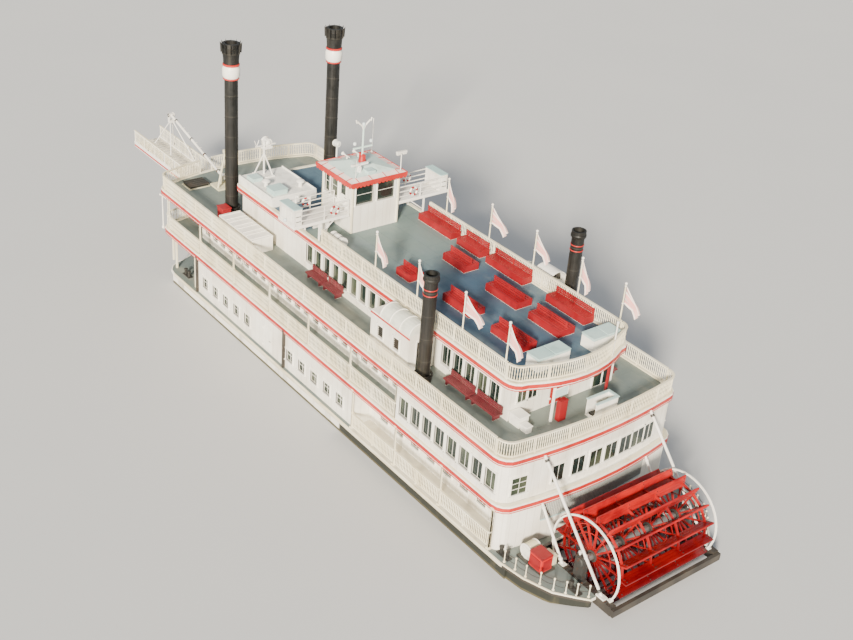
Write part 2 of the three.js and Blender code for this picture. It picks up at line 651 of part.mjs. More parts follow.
// Pilot house: a hollow trunk below, the wheelhouse above it, open under its roof
function pilotPlan(inset, z0, z1) {
  return box(PILOT.aft + inset, PILOT.fore - inset, -PILOT.half + inset, PILOT.half - inset, z0, z1);
}

function pilotHouse() {
  const { aft, fore, half, floor, top } = PILOT;
  const shell = pilotPlan(0, TOP_Z + GAP, top);
  const trunk = pilotPlan(WALL, TOP_Z - 1, floor - 0.1);
  const room = pilotPlan(WALL, floor, top + 1);
  const { sill, head, ends, sides } = PILOT_LIGHTS;
  const lights = [];
  for (const [y0, y1] of ends) lights.push(box(aft - 1, fore + 1, y0, y1, sill, head));
  for (const [x0, x1] of sides) lights.push(box(x0, x1, -half - 1, half + 1, sill, head));
  for (const [, side] of SIDES) lights.push(doorway(DOORS.pilot, side));
  const pins = SIDES.flatMap(([, side]) => sideDoorPins(DOORS.pilot, side));
  return join([shell.subtract(join([trunk, room, ...lights])), ...pins]);
}

function pilotRoof() {
  const { aft, fore, half, top } = PILOT;
  const low = top + GAP;
  const over = 0.35;
  const plate = box(aft - over, fore + over, -half - over, half + over, low, low + 0.18);
  const ridge = across([
    [aft - over, low + 0.17], [aft + 1.1, low + 0.55], [fore - 1.1, low + 0.55], [fore + over, low + 0.17],
  ], -half - over, half + over);
  const cross = along([
    [-half - over, low + 0.17], [-0.5, low + 0.55], [0.5, low + 0.55], [half + over, low + 0.17],
  ], aft - over, fore + over);
  const mast = rod([4.2, 0, low + 0.4], [4.2, 0, low + 3.1], 0.07, 8);
  const yard = box(4.15, 4.25, -0.75, 0.75, low + 1.55, low + 1.65);
  return join([plate, ridge.intersect(cross), mast, yard]);
}

// Bridge wing: a floor out over the deck's edge, its rails, an end box and the posts under it
function bridgeWing(side) {
  const { aft, fore, inner, outer, low, high } = WING;
  const y = (v) => side * v;
  const parts = [box(aft, fore, y(inner), y(outer), low, high)];
  for (const x of [aft + 0.04, fore - 0.04]) {
    for (const z of [0.35, 0.7, 1.05]) {
      parts.push(box(x - 0.03, x + 0.03, y(inner + 0.1), y(outer), high + z - 0.05, high + z));
    }
    for (const v of [inner + 0.1, 3.9, outer - 0.04]) {
      parts.push(box(x - 0.03, x + 0.03, y(v - 0.03), y(v + 0.03), high - 0.05, high + 1.02));
    }
    parts.push(box(x - 0.05, x + 0.05, y(4.2), y(4.3), TOP_Z + GAP, low + 0.05));
  }
  parts.push(box(aft + 0.05, fore - 0.05, y(outer - 0.6), y(outer), high - 0.05, high + 1.15));
  return join(parts);
}

// Stair house beside the third deck cabin, open aft, with a barrel hood on its roof
function stairHouse(side) {
  const { fore, aft, outer, top } = STAIR;
  const inner = THIRD_HOUSE.half + GAP;
  const y = (v) => side * v;
  const shell = box(aft, fore, y(inner), y(outer), THIRD_Z + GAP, top);
  const room = box(aft + WALL, fore - WALL, y(inner + WALL), y(outer - WALL), THIRD_Z - 1, top - WALL);
  const door = box(aft - 1, aft + 1, y(4.6), y(5.5), THIRD_Z - 1, THIRD_Z + 2.0);
  const lights = [-7.0, -8.6].map((x) => box(x - 0.3, x + 0.3, y(outer - 1), y(outer + 1), 8.4, 9.2));
  const arch = [];
  for (let i = 0; i <= 10; i++) {
    const angle = (Math.PI * i) / 10;
    arch.push([y(HOOD.y) + HOOD.half * Math.cos(angle), HOOD.springing + HOOD.rise * Math.sin(angle)]);
  }
  const foot = top - 0.04;
  const hood = along([...arch, [y(HOOD.y) - HOOD.half, foot], [y(HOOD.y) + HOOD.half, foot]], HOOD.aft,
    HOOD.fore);
  return join([shell.subtract(join([room, door, ...lights])), hood]);
}

// Landing stage on its hanger
function landingStage() {
  const { aft, fore, half, low, high, rail, post: size } = STAGE;
  const { y, tipX, tipZ } = BOOM;
  const parts = [box(aft, fore, y - half, y + half, high - 0.06, high)];
  for (const s of [-1, 1]) {
    const edge = y + s * (half - 0.06);
    parts.push(box(aft, fore, edge - 0.06, edge + 0.06, low - 0.12, high + 0.04));
    parts.push(box(aft, fore, edge - 0.04, edge + 0.04, high + rail - 0.07, high + rail));
    for (let i = 0; i <= 5; i++) {
      const x = aft + 0.05 + ((fore - aft - 0.1) * i) / 5;
      parts.push(post(x, edge, size, high - 0.02, high + rail - 0.03));
    }
    for (const x of [tipX - 2, tipX + 2]) {
      parts.push(rod([x, edge, high - 0.02], [tipX, y + s * 0.1, tipZ - 0.5], 0.035, 6));
    }
    parts.push(box(tipX - 0.14, tipX + 0.14, y + s * 0.17, y + s * 0.23, tipZ - 0.6, tipZ + 0.16));
  }
  parts.push(box(tipX - 0.14, tipX + 0.14, y - 0.23, y + 0.23, tipZ - 0.62, tipZ - 0.42));
  for (let i = 1; i < 5; i++) {
    const x = aft + ((fore - aft) * i) / 5;
    parts.push(box(x - 0.06, x + 0.06, y - half + 0.05, y + half - 0.05, low - 0.06, high - 0.05));
  }
  const hole = across(circle(tipX, tipZ, PIN.radius + RUNNING_GAP, 16), y - 1, y + 1);
  return join(parts).subtract(hole);
}

function stageBoom() {
  const { y, footX, footZ, tipX, tipZ, radius } = BOOM;
  const spar = rod([footX, y, footZ], [tipX, y, tipZ], radius, 12);
  const head = box(tipX - 0.12, tipX + 0.12, y - 0.12, y + 0.12, tipZ - 0.13, tipZ + 0.13);
  const heel = box(footX - 0.12, footX + 0.3, y - 0.12, y + 0.12, footZ - 0.13, footZ + 0.2);
  const pins = [[tipX, tipZ], [footX, footZ]].map(([x, z]) => rod(
    [x, y - PIN.half, z], [x, y + PIN.half, z], PIN.radius, 16));
  return join([spar, head, heel, ...pins]);
}

// Heel frame that carries the boom: two cheeks on a base, with raking legs to a head above
function boomFrame() {
  const { y, footX, footZ } = BOOM;
  const base = THIRD_Z + GAP;
  const parts = [box(footX - 0.9, footX + 0.4, y - 0.9, y + 0.9, base, base + 0.14)];
  for (const s of [-1, 1]) {
    parts.push(box(footX - 0.2, footX + 0.2, y + s * 0.17, y + s * 0.23, base + 0.1, footZ + 0.2));
    const legX = footX - 0.6;
    parts.push(rod([legX, y + s * 0.8, base + 0.05], [legX, y + s * 0.14, base + 3.0], 0.08, 8));
  }
  parts.push(box(footX - 0.72, footX - 0.48, y - 0.3, y + 0.3, base + 2.85, base + 3.1));
  const hole = across(circle(footX, footZ, PIN.radius + RUNNING_GAP, 16), y - 1, y + 1);
  return join(parts).subtract(hole);
}

// Light mast on the fore block: a post with two raking legs, a lamp on a shelf and a forked yard
function foremast() {
  const { x, y, top, crotch, lamp } = FOREMAST;
  const base = FORE_BLOCK.top + GAP;
  const legs = [[-0.5, -0.42], [0.45, 0.5]].map(([dx, dy]) => rod(
    [x + dx, y + dy, base + 0.05], [x, y, crotch], 0.05, 8));
  const fork = [-0.18, 0.18].map((dy) => rod([x, y + 0.6, 12.98], [x, y + 0.6 + dy, 13.45], 0.03, 6));
  return join([
    box(x - 0.6, x + 0.55, y - 0.54, y + 0.62, base, base + 0.08),
    rod([x, y, base + 0.05], [x, y, top], 0.07, 8), ...legs,
    box(x - 0.04, x + 0.04, y - 0.9, y + 0.7, 12.94, 13.02), ...fork,
    box(x - 0.1, x + 0.45, y - 0.62, y + 0.08, 12.68, 12.84),
    searchlight(x + 0.2, y - 0.35, 13.1, lamp),
  ]);
}

// Aft wall door of the third deck cabin, hinged on its port edge and opening aft
function aftDoorCut() {
  const { y, width, low, height, face } = DOORS.aft;
  return box(face - 1, face + 1, y - width - DOOR_GAP, y + DOOR_GAP, low, low + height);
}

function aftDoorPins() {
  const { y, low, face } = DOORS.aft;
  return hingePins(face - KNUCKLE.out, y, low, [0, 1], [1, 0]);
}

function aftDoor() {
  const { y, width, low, height, face } = DOORS.aft;
  const x = face - KNUCKLE.out;
  const leaf = box(face, face + LEAF, y - width, y, low + DOOR_GAP, low + height - DOOR_GAP);
  const tabs = KNUCKLE.places.map((z) => box(x, face + LEAF, y - 0.1, y, low + z + 0.02,
    low + z + KNUCKLE.half - 0.02));
  return join([leaf, ...tabs, ...knuckles(x, y, low, false)]);
}

// Fantail gear on the port arm: a machinery box and a rope drum on feet, on one base plate
function winch() {
  const base = MAIN_Z + GAP;
  const [bx0, bx1, by0, by1] = FANTAIL_GEAR.base;
  const [x0, x1, y0, y1, top] = FANTAIL_GEAR.box;
  const [x, end0, end1, z, radius] = FANTAIL_GEAR.drum;
  const feet = [end0, end1 - 0.12].map((y) => box(x - 0.3, x + 0.3, y, y + 0.12, base + 0.05, z));
  return join([
    box(bx0, bx1, by0, by1, base, base + 0.08), box(x0, x1, y0, y1, base + 0.05, top), ...feet,
    rod([x, end0, z], [x, end1, z], radius, 20),
  ]);
}

// Assembly
piece('hull', hull(), COLOUR.hull);
piece('main_deck', mainDeck(), COLOUR.deck, 0.8);
piece('stern_beam', box(STERN_BEAM.aft, STERN_BEAM.fore - GAP, -BEAM.outer, BEAM.outer, STERN_BEAM.low,
  STERN_BEAM.high), COLOUR.timber, 0.9);
const gangways = SIDES.map(([, side]) => doorway(DOORS.gangway, side));
const mainTop = SECOND_Z - PLATE - GAP;
const mainWalls = cabin(mainPlan, MAIN_Z + GAP, mainTop, [...windowCuts('main'), ...gangways]);
const gangwayPins = SIDES.flatMap(([, side]) => sideDoorPins(DOORS.gangway, side));
piece('main_house', join([mainWalls, ...gangwayPins]), COLOUR.white);
piece('main_glazing', glazing(mainPlan, 1.85, 3.5, gangways), COLOUR.glass, 0.1);
piece('second_deck', secondDeck(), COLOUR.deck, 0.8);
piece('second_house', cabin(secondPlan, SECOND_Z + GAP, THIRD_Z - PLATE - GAP, windowCuts('second')),
  COLOUR.white);
piece('second_glazing', glazing(secondPlan, 4.75, 6.35), COLOUR.glass, 0.1);
piece('third_deck', thirdDeck(), COLOUR.deck, 0.8);
const thirdCuts = [...windowCuts('third'), aftDoorCut()];
const thirdWalls = cabin(thirdPlan, THIRD_Z + GAP, TOP_Z - PLATE - GAP, thirdCuts);
piece('third_house', join([thirdWalls, ...aftDoorPins()]), COLOUR.white);
piece('third_glazing', glazing(thirdPlan, 7.8, 9.6, [aftDoorCut()]), COLOUR.glass, 0.1);
piece('third_aft_door', aftDoor(), COLOUR.red);
piece('top_deck', topDeck(), COLOUR.topDeck, 0.8);
piece('pilot_house', pilotHouse(), COLOUR.white);
piece('pilot_glazing', glazing(pilotPlan, PILOT_LIGHTS.sill - 0.1, PILOT_LIGHTS.head + 0.15,
  SIDES.map(([, side]) => doorway(DOORS.pilot, side))), COLOUR.glass, 0.1);
piece('pilot_roof', pilotRoof(), COLOUR.white);
piece('paddle_wheel', wheel(), COLOUR.red);
piece('wheel_shaft', across(circle(WHEEL.x, WHEEL.z, SHAFT.radius, SHAFT.sides), -SHAFT.end, SHAFT.end),
  COLOUR.steel, 0.4, 0.8);
piece('landing_stage', landingStage(), COLOUR.white);
piece('stage_boom', stageBoom(), COLOUR.white);
piece('boom_frame', boomFrame(), COLOUR.cream);
piece('foremast', foremast(), COLOUR.white);
piece('fantail_winch', winch(), COLOUR.steel, 0.5, 0.6);

for (const [name, side] of SIDES) {
  const y = (v) => side * v;
  piece(`wheel_beam_${name}`, wheelBeam(side), COLOUR.timber, 0.9);
  piece(`bearing_${name}`, bearing(side), COLOUR.steel, 0.5, 0.6);
  piece(`wheel_guard_${name}`, guard(side), COLOUR.cream);
  piece(`strut_${name}`, strut(side), COLOUR.white);
  piece(`rudder_${name}`, rudder(side), COLOUR.hull);
  piece(`gangway_door_${name}`, sideDoor(DOORS.gangway, side), COLOUR.white);
  piece(`pilot_door_${name}`, sideDoor(DOORS.pilot, side), COLOUR.white);
  piece(`bridge_wing_${name}`, bridgeWing(side), COLOUR.white);
  piece(`tall_stack_${name}`, stack(STACKS.tall, side), COLOUR.black);
  piece(`short_stack_${name}`, stack(STACKS.short, side), COLOUR.black);
  piece(`stair_house_${name}`, stairHouse(side), COLOUR.white);
  piece(`locker_${name}`, box(LOCKER.aft, LOCKER.fore, y(LOCKER.inner), y(LOCKER.outer), THIRD_Z + GAP,
    LOCKER.top), COLOUR.white);

  const { main, second, third, top } = DECKS;
  piece(`main_rail_${name}`, railing(straight(main, side, MAIN_HOUSE.aft + 0.08, MAIN_HOUSE.recess - 0.08),
    MAIN_Z, { roof: SECOND_Z - PLATE, every: 2 }), COLOUR.cream);
  const [, secondFore] = sideEnds(second);
  piece(`second_rail_${name}`, railing(straight(second, side, SECOND_HOUSE.step + 0.08, secondFore), SECOND_Z,
    { roof: THIRD_Z - PLATE, every: 2 }), COLOUR.cream);
  piece(`third_rail_bow_${name}`, bowRail(side), COLOUR.cream);
  piece(`third_rail_${name}`, railing(straight(third, side, ...sideEnds(third)), THIRD_Z), COLOUR.cream);
  const poles = FLAG_POLES[name].map((x) => [x, y(top.half - RAIL.inset - RAIL.bar / 2)]);
  piece(`top_rail_${name}`, railing(straight(top, side, top.aft + top.aftCorner + RUN_GAP, 2.1), TOP_Z,
    { poles }), COLOUR.cream);
}
piece('second_rail_bow', railing((inset) => foreEdge(DECKS.second, inset), SECOND_Z,
  { roof: THIRD_Z - PLATE, every: 2 }), COLOUR.cream);
piece('third_rail_aft', railing((inset) => aftEdge(DECKS.third, inset), THIRD_Z), COLOUR.cream);
piece('top_rail_aft', railing((inset) => aftEdge(DECKS.top, inset), TOP_Z), COLOUR.cream);

export default boat;
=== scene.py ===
"""Looks of a stern-wheel excursion boat, a model at half the real size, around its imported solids.

Every size below is the real boat's, in metres: X runs to the bow, Y to port, and heights are measured
from the waterline. A finished mesh is brought to the model's own frame by TO_MODEL.
"""

from __future__ import annotations

import json
import logging
import math
import sys
from dataclasses import dataclass, field
from enum import Enum
from typing import Callable, Iterable, Protocol, Sequence

import bmesh
import bpy
from mathutils import Matrix, Vector

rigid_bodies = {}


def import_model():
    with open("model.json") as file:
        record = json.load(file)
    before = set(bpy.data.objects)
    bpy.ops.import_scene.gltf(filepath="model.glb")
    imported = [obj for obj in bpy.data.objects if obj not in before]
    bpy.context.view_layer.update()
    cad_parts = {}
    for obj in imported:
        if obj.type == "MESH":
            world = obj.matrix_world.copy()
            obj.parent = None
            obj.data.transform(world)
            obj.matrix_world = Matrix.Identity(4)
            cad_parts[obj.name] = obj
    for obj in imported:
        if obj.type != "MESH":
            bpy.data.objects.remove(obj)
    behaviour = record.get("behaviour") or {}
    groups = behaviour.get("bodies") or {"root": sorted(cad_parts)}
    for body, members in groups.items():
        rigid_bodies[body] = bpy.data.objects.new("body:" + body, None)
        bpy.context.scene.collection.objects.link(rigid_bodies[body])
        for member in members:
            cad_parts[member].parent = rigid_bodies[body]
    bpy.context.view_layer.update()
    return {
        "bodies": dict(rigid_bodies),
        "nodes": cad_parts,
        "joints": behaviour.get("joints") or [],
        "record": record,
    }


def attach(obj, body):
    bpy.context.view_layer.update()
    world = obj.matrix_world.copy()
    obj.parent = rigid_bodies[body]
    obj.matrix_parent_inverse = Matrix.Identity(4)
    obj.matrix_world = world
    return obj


LOG = logging.getLogger("boat")

SHADER = "ShaderNode"
SCALE = 0.5
DRAFT = 1.7
TO_MODEL = Matrix.Scale(SCALE, 4) @ Matrix.Translation((0.0, 0.0, DRAFT))

MAIN_Z = 1.2
SECOND_Z = 4.33
THIRD_Z = 7.34
TOP_Z = 10.13
PLATE = 0.22

Point = tuple[float, float, float]
Flat = tuple[float, float]
Colour = int  # as 0xRRGGBB
Material, Object, Mesh = bpy.types.Material, bpy.types.Object, bpy.types.Mesh
Node, Socket = bpy.types.Node, bpy.types.NodeSocket
ORIGIN: Point = (0.0, 0.0, 0.0)
AHEAD: Point = (1.0, 0.0, 0.0)
TO_PORT: Point = (0.0, 1.0, 0.0)
UP: Point = (0.0, 0.0, 1.0)


class Side(Enum):
    """The two sides of the boat."""

    PORT = 1
    STBD = -1

    @property
    def tag(self) -> str:
        """Word for the side in piece names."""
        return self.name.lower()


def tint(code: Colour) -> tuple[float, float, float]:
    """Turns a display colour into the three linear parts that a shader takes."""
    def linear(part: float) -> float:
        """One part of the colour, made linear."""
        return part / 12.92 if part <= 0.04045 else ((part + 0.055) / 1.055) ** 2.4
    return linear((code >> 16) / 255), linear((code >> 8 & 255) / 255), linear((code & 255) / 255)


# Finishes


class Tree:
    """A node tree laid in code."""

    def __init__(self, tree: bpy.types.NodeTree, prefix: str) -> None:
        """Takes an empty tree.

        Args:
            tree: The tree.
            prefix: What the types of its own nodes start with.
        """
        self.nodes, self.links, self.prefix = tree.nodes, tree.links, prefix

    def add(self, kind: str, inputs: dict, prefix: str = "", **settings) -> Node:
        """Adds a node.

        Args:
            kind: The node's type after its prefix.
            inputs: Socket name or number to a value or another socket.
            prefix: Start of the type, where it isn't the tree's own.
            settings: The node's own properties.

        Returns:
            The node.
        """
        node = self.nodes.new((prefix or self.prefix) + kind)
        for key, value in settings.items():
            setattr(node, key, value)
        for key, value in inputs.items():
            if isinstance(value, Socket):
                self.links.new(value, node.inputs[key])
            else:
                node.inputs[key].default_value = value
        return node

    def math(self, operation: str, first, second=0.0) -> Socket:
        """Result of a Math node on two values or sockets."""
        return self.add("Math", {0: first, 1: second}, SHADER, operation=operation).outputs[0]

    def times(self, first, second) -> Socket:
        """Product of two values or sockets."""
        return self.math("MULTIPLY", first, second)

    def plus(self, first, second) -> Socket:
        """Sum of two values or sockets."""
        return self.math("ADD", first, second)

    def less(self, first, second) -> Socket:
        """Difference of two values or sockets."""
        return self.math("SUBTRACT", first, second)


class Shader(Tree):
    """A material's node tree, around one Principled shader."""

    def __init__(self, name: str) -> None:
        """Starts a material.

        Args:
            name: The material's name.
        """
        self.material = bpy.data.materials.new(name)
        self.material.use_nodes = True
        super().__init__(self.material.node_tree, SHADER)
        self.nodes.clear()
        self.surface = self.add("BsdfPrincipled", {})
        self.add("OutputMaterial", {"Surface": self.surface.outputs[0]})
        self.place = self.add("TexCoord", {}).outputs["Object"]
        self.normal = self.add("NewGeometry", {}).outputs["Normal"]

    def noise(self, scale: float, stretch: Point = (1.0, 1.0, 1.0), detail: float = 3.0,
            shift: Point = ORIGIN) -> Socket:
        """Cloudy value from 0 to 1.

        Args:
            scale: Clouds to the metre of the model.
            stretch: Factor along each axis before the clouds are read.
            detail: Octaves.
            shift: Offset, so that two noises differ.

        Returns:
            The noise's value socket.
        """
        mapped = self.add("Mapping", {"Vector": self.place, "Scale": stretch, "Location": shift})
        inputs = {"Vector": mapped.outputs[0], "Scale": scale, "Detail": detail}
        return self.add("TexNoise", inputs).outputs["Fac"]

    def step(self, value, low: float, high: float, start: float = 0.0, stop: float = 1.0) -> Socket:
        """Smooth change from start to stop as value goes from low to high."""
        inputs = {0: value, 1: low, 2: high, 3: start, 4: stop}
        return self.add("MapRange", inputs, interpolation_type="SMOOTHSTEP").outputs[0]

    def blend(self, share, first, second) -> Socket:
        """Colour that goes from first to second as share goes from 0 to 1."""
        def whole(colour):
            """A colour with its alpha, or the socket as it is."""
            colour = tint(colour) if isinstance(colour, int) else colour
            return (*colour, 1.0) if isinstance(colour, tuple) else colour
        node = self.add("Mix", {0: share, 6: whole(first), 7: whole(second)}, data_type="RGBA")
        return node.outputs[2]

    def parts(self, vector) -> Node:
        """The three parts of a vector, as a Separate XYZ node."""
        return self.add("SeparateXYZ", {0: vector})

    def coat(self, colour, roughness, bump=None, depth: float = 0.002) -> Material:
        """Joins what was laid to the shader.

        Args:
            colour: A socket.
            roughness: A number or a socket.
            bump: Height socket, or None.
            depth: Height of the bump, in metres of the model.

        Returns:
            The finished material.
        """
        self.links.new(colour, self.surface.inputs["Base Color"])
        if isinstance(roughness, Socket):
            self.links.new(roughness, self.surface.inputs["Roughness"])
        else:
            self.surface.inputs["Roughness"].default_value = roughness
        if bump is not None:
            node = self.add("Bump", {"Height": bump, "Distance": depth, "Strength": 0.6})
            self.links.new(node.outputs[0], self.surface.inputs["Normal"])
        return self.material


@dataclass(frozen=True)
class Zone:
    """A box within a solid that is painted in a colour of its own."""

    low: Point
    high: Point
    colour: Colour

    def lay(self, shader: Shader, under) -> Socket:
        """Puts the box's colour, a little clouded, over another."""
        low, high = TO_MODEL @ Vector(self.low), TO_MODEL @ Vector(self.high)
        off = shader.place
        middle, half = (low + high) / 2, (high - low) / 2
        for kind, value in (("SUBTRACT", middle), ("ABSOLUTE", (0, 0, 0)), ("SUBTRACT", half)):
            off = shader.add("VectorMath", {0: off, 1: value}, operation=kind).outputs[0]
        x, y, z = shader.parts(off).outputs
        inside = shader.math("LESS_THAN", shader.math("MAXIMUM", shader.math("MAXIMUM", x, y), z), 0.0)
        shade = shader.step(shader.noise(3.0, detail=4.0), 0.42, 0.7, 0.0, 0.5)
        colour = shader.blend(shade, self.colour, tuple(0.66 * part for part in tint(self.colour)))
        return shader.blend(inside, under, colour)


@dataclass(frozen=True)
class Paint:
    """Brushed or sprayed paint on steel or board, clouded, streaked and lightly pitted."""

    name: str
    colour: Colour
    worn: Colour
    grime: Colour
    streaks: float = 0.35
    roughness: float = 0.45
    boards: float = 0.0
    zones: tuple[Zone, ...] = ()

    def build(self) -> Material:
        """Lays the material."""
        shader = Shader(self.name)
        clouds = shader.step(shader.noise(0.9, detail=4.0), 0.35, 0.7)
        colour = shader.blend(clouds, self.colour, self.worn)
        runs = shader.step(shader.noise(2.4, (1.0, 1.0, 0.14), shift=(3.0, 1.0, 0.0)), 0.52, 0.78, 0.0,
            self.streaks)
        colour = shader.blend(runs, colour, self.grime)
        specks = shader.step(shader.noise(26.0, detail=2.0), 0.66, 0.78, 0.0, self.streaks)
        colour = shader.blend(specks, colour, self.grime)
        skin = shader.noise(60.0, detail=2.0)
        if self.boards:
            seam = self.seams(shader)
            colour = shader.blend(shader.times(seam, 0.35), colour, self.grime)
            skin = shader.less(skin, shader.times(seam, 2.0))
        for zone in self.zones:
            colour = zone.lay(shader, colour)
        low, high = self.roughness - 0.08, self.roughness + 0.14
        rough = shader.step(shader.noise(5.0, shift=(0.0, 4.0, 2.0)), 0.3, 0.7, low, high)
        return shader.coat(colour, rough, skin)

    def seams(self, shader: Shader) -> Socket:
        """Narrow upright lines, the same distance apart on walls that face any way."""
        axes = shader.parts(shader.place)
        along = shader.plus(axes.outputs[0], axes.outputs[1])
        turn = shader.math("FRACT", shader.math("DIVIDE", along, self.boards))
        off = shader.math("ABSOLUTE", shader.less(turn, 0.5))
        return shader.step(off, 0.46, 0.495)


@dataclass(frozen=True)
class DeckPaint:
    """Non-slip deck paint with plate seams and scuffed paths, and plain paint on the edge and below."""

    name: str
    colour: Colour
    patch: Colour
    scuff: Colour
    below: Colour
    zones: tuple[Zone, ...] = ()
    faded: Colour | None = None

    def build(self) -> Material:
        """Lays the material."""
        shader = Shader(self.name)
        colour = shader.blend(shader.step(shader.noise(0.35, detail=5.0), 0.38, 0.62), self.colour,
            self.patch)
        if self.faded:
            along = shader.parts(shader.place).outputs[0]
            share = shader.times(shader.step(along, -3.2, -0.4), shader.step(along, 2.0, 2.4, 0.85, 0.0))
            colour = shader.blend(share, colour, self.faded)
        worn = shader.step(shader.noise(1.3, (0.35, 1.0, 1.0), 5.0, (7.0, 2.0, 0.0)), 0.5, 0.72, 0.0, 0.6)
        colour = shader.blend(worn, colour, self.scuff)
        bricks = shader.add("TexBrick", {"Vector": shader.place, "Scale": 1.0, "Mortar Size": 0.006,
            "Mortar Smooth": 0.3, "Brick Width": 1.5, "Row Height": 0.75})
        seam = bricks.outputs["Fac"]
        dark = tuple(0.55 * part for part in tint(self.colour))
        colour = shader.blend(shader.times(seam, 0.5), colour, dark)
        up = shader.step(shader.parts(shader.normal).outputs[2], 0.3, 0.6)
        colour = shader.blend(up, self.below, colour)
        for zone in self.zones:
            colour = zone.lay(shader, colour)
        grit = shader.less(shader.noise(90.0, detail=2.0), shader.times(seam, 1.5))
        rough = shader.step(shader.noise(2.0, shift=(1.0, 5.0, 0.0)), 0.35, 0.7, 0.5, 0.8)
        return shader.coat(colour, rough, grit)


@dataclass(frozen=True)
class HullPaint:
    """Hull sides: dark below and aft, white plating on the fore half, with a scum line at the water."""

    name: str
    dark: Colour
    white: Colour
    scum: Colour

    def build(self) -> Material:
        """Lays the material."""
        shader = Shader(self.name)
        axes = shader.parts(shader.place)
        wobble = shader.times(shader.noise(1.5, detail=5.0), 0.06)
        height = shader.plus(axes.outputs[2], wobble)
        ahead = shader.step(axes.outputs[0], -2.1, -2.0)
        clear = shader.step(height, 0.965, 0.975)
        streak = shader.step(shader.noise(2.2, (1.0, 1.0, 0.12)), 0.48, 0.75, 0.0, 0.5)
        white = shader.blend(streak, self.white, self.scum)
        rust = shader.step(shader.noise(3.0, (1.0, 1.0, 0.3), 5.0, (2.0, 0.0, 1.0)), 0.55, 0.8, 0.0, 0.5)
        dark = shader.blend(rust, self.dark, self.scum)
        colour = shader.blend(shader.times(ahead, clear), dark, white)
        line = shader.times(shader.step(height, 0.86, 0.9), shader.step(height, 0.93, 0.96, 1.0, 0.0))
        colour = shader.blend(shader.times(line, 0.7), colour, self.scum)
        plates = shader.add("TexBrick", {"Vector": self.unrolled(shader), "Scale": 1.0, "Mortar Size": 0.006,
            "Mortar Smooth": 0.4, "Brick Width": 2.0, "Row Height": 0.6})
        skin = shader.less(shader.noise(30.0), plates.outputs["Fac"])
        return shader.coat(colour, 0.5, skin)

    def unrolled(self, shader: Shader) -> Socket:
        """Coordinates that run along the side and up it."""
        axes = shader.parts(shader.place)
        along = shader.plus(axes.outputs[0], axes.outputs[1])
        return shader.add("CombineXYZ", {0: along, 1: axes.outputs[2]}).outputs[0]


@dataclass(frozen=True)
class Glazing:
    """Dark cabin glass, with faint changes from pane to pane of what lies behind it."""

    name: str
    deep: Colour
    inside: Colour

    def build(self) -> Material:
        """Lays the material."""
        shader = Shader(self.name)
        shapes = shader.step(shader.noise(1.7, (1.0, 1.0, 0.6), 2.0), 0.45, 0.65, 0.0, 0.8)
        colour = shader.blend(shapes, self.deep, self.inside)
        rough = shader.step(shader.noise(6.0), 0.3, 0.7, 0.04, 0.14)
        shader.surface.inputs["Specular IOR Level"].default_value = 0.6
        return shader.coat(colour, rough, shader.noise(3.0), 0.001)


@dataclass(frozen=True)
class PaintedTimber:
    """Painted planks with their grain showing, scraped along their faces, and darker below a given height:
    partly where wet, partly painted shade.
    """

    name: str
    colour: Colour
    bright: Colour
    bare: Colour
    wet: Colour
    wet_top: float = 0.0
    zones: tuple[Zone, ...] = ()

    def build(self) -> Material:
        """Lays the material."""
        shader = Shader(self.name)
        colour = shader.blend(shader.step(shader.noise(1.6, detail=4.0), 0.35, 0.65), self.colour,
            self.bright)
        grain = shader.noise(14.0, (1.0, 0.06, 1.0), 4.0)
        colour = shader.blend(shader.step(grain, 0.55, 0.75, 0.0, 0.3), colour, self.wet)
        scrape = shader.step(shader.noise(5.0, (1.0, 0.25, 1.0), 5.0, (4.0, 0.0, 2.0)), 0.68, 0.78, 0.0, 0.7)
        colour = shader.blend(scrape, colour, self.bare)
        rough = 0.5
        # Darker towards the bottom, up to the given height: partly wet timber, partly painted shade.
        if self.wet_top:
            height = shader.parts(shader.place).outputs[2]
            damp_and_shade = shader.step(height, 0.9, self.wet_top, 0.9, 0.0)
            colour = shader.blend(damp_and_shade, colour, self.wet)
            rough = shader.step(height, 0.9, self.wet_top, 0.2, 0.45)
        for zone in self.zones:
            colour = zone.lay(shader, colour)
        return shader.coat(colour, rough, grain, 0.004)


@dataclass(frozen=True)
class StackPaint:
    """Black heat-proof paint with clouds of brown scorch, streaks of ash, and plate rings."""

    name: str
    black: Colour
    scorch: Colour
    ash: Colour

    def build(self) -> Material:
        """Lays the material."""
        shader = Shader(self.name)
        height = shader.parts(shader.place).outputs[2]
        clouds = shader.step(shader.noise(2.5, (1.0, 1.0, 0.3), 5.0), 0.35, 0.7)
        colour = shader.blend(shader.times(clouds, 0.5), self.black, self.scorch)
        runs = shader.step(shader.noise(5.0, (1.0, 1.0, 0.08), 4.0, (1.0, 2.0, 0.0)), 0.5, 0.75, 0.0, 0.45)
        colour = shader.blend(runs, colour, self.ash)
        turn = shader.math("FRACT", shader.math("DIVIDE", height, 0.75))
        seam = shader.step(shader.math("ABSOLUTE", shader.less(turn, 0.5)), 0.47, 0.495)
        colour = shader.blend(shader.times(seam, 0.5), colour, self.ash)
        skin = shader.plus(shader.noise(40.0), seam)
        rough = shader.step(shader.noise(4.0), 0.3, 0.7, 0.4, 0.65)
        return shader.coat(colour, rough, skin, 0.003)


@dataclass(frozen=True)
class Metal:
    """Bare or galvanised metal with brushed scratches and spots of rust."""

    name: str
    colour: Colour
    rust: Colour
    metallic: float = 0.8
    roughness: float = 0.4

    def build(self) -> Material:
        """Lays the material."""
        shader = Shader(self.name)
        shader.surface.inputs["Metallic"].default_value = self.metallic
        spots = shader.step(shader.noise(9.0, detail=5.0), 0.56, 0.7, 0.0, 0.7)
        colour = shader.blend(spots, self.colour, self.rust)
        brushed = shader.noise(50.0, (1.0, 0.1, 1.0))
        rough = shader.step(brushed, 0.3, 0.7, self.roughness - 0.1, self.roughness + 0.2)
        return shader.coat(colour, rough, brushed)


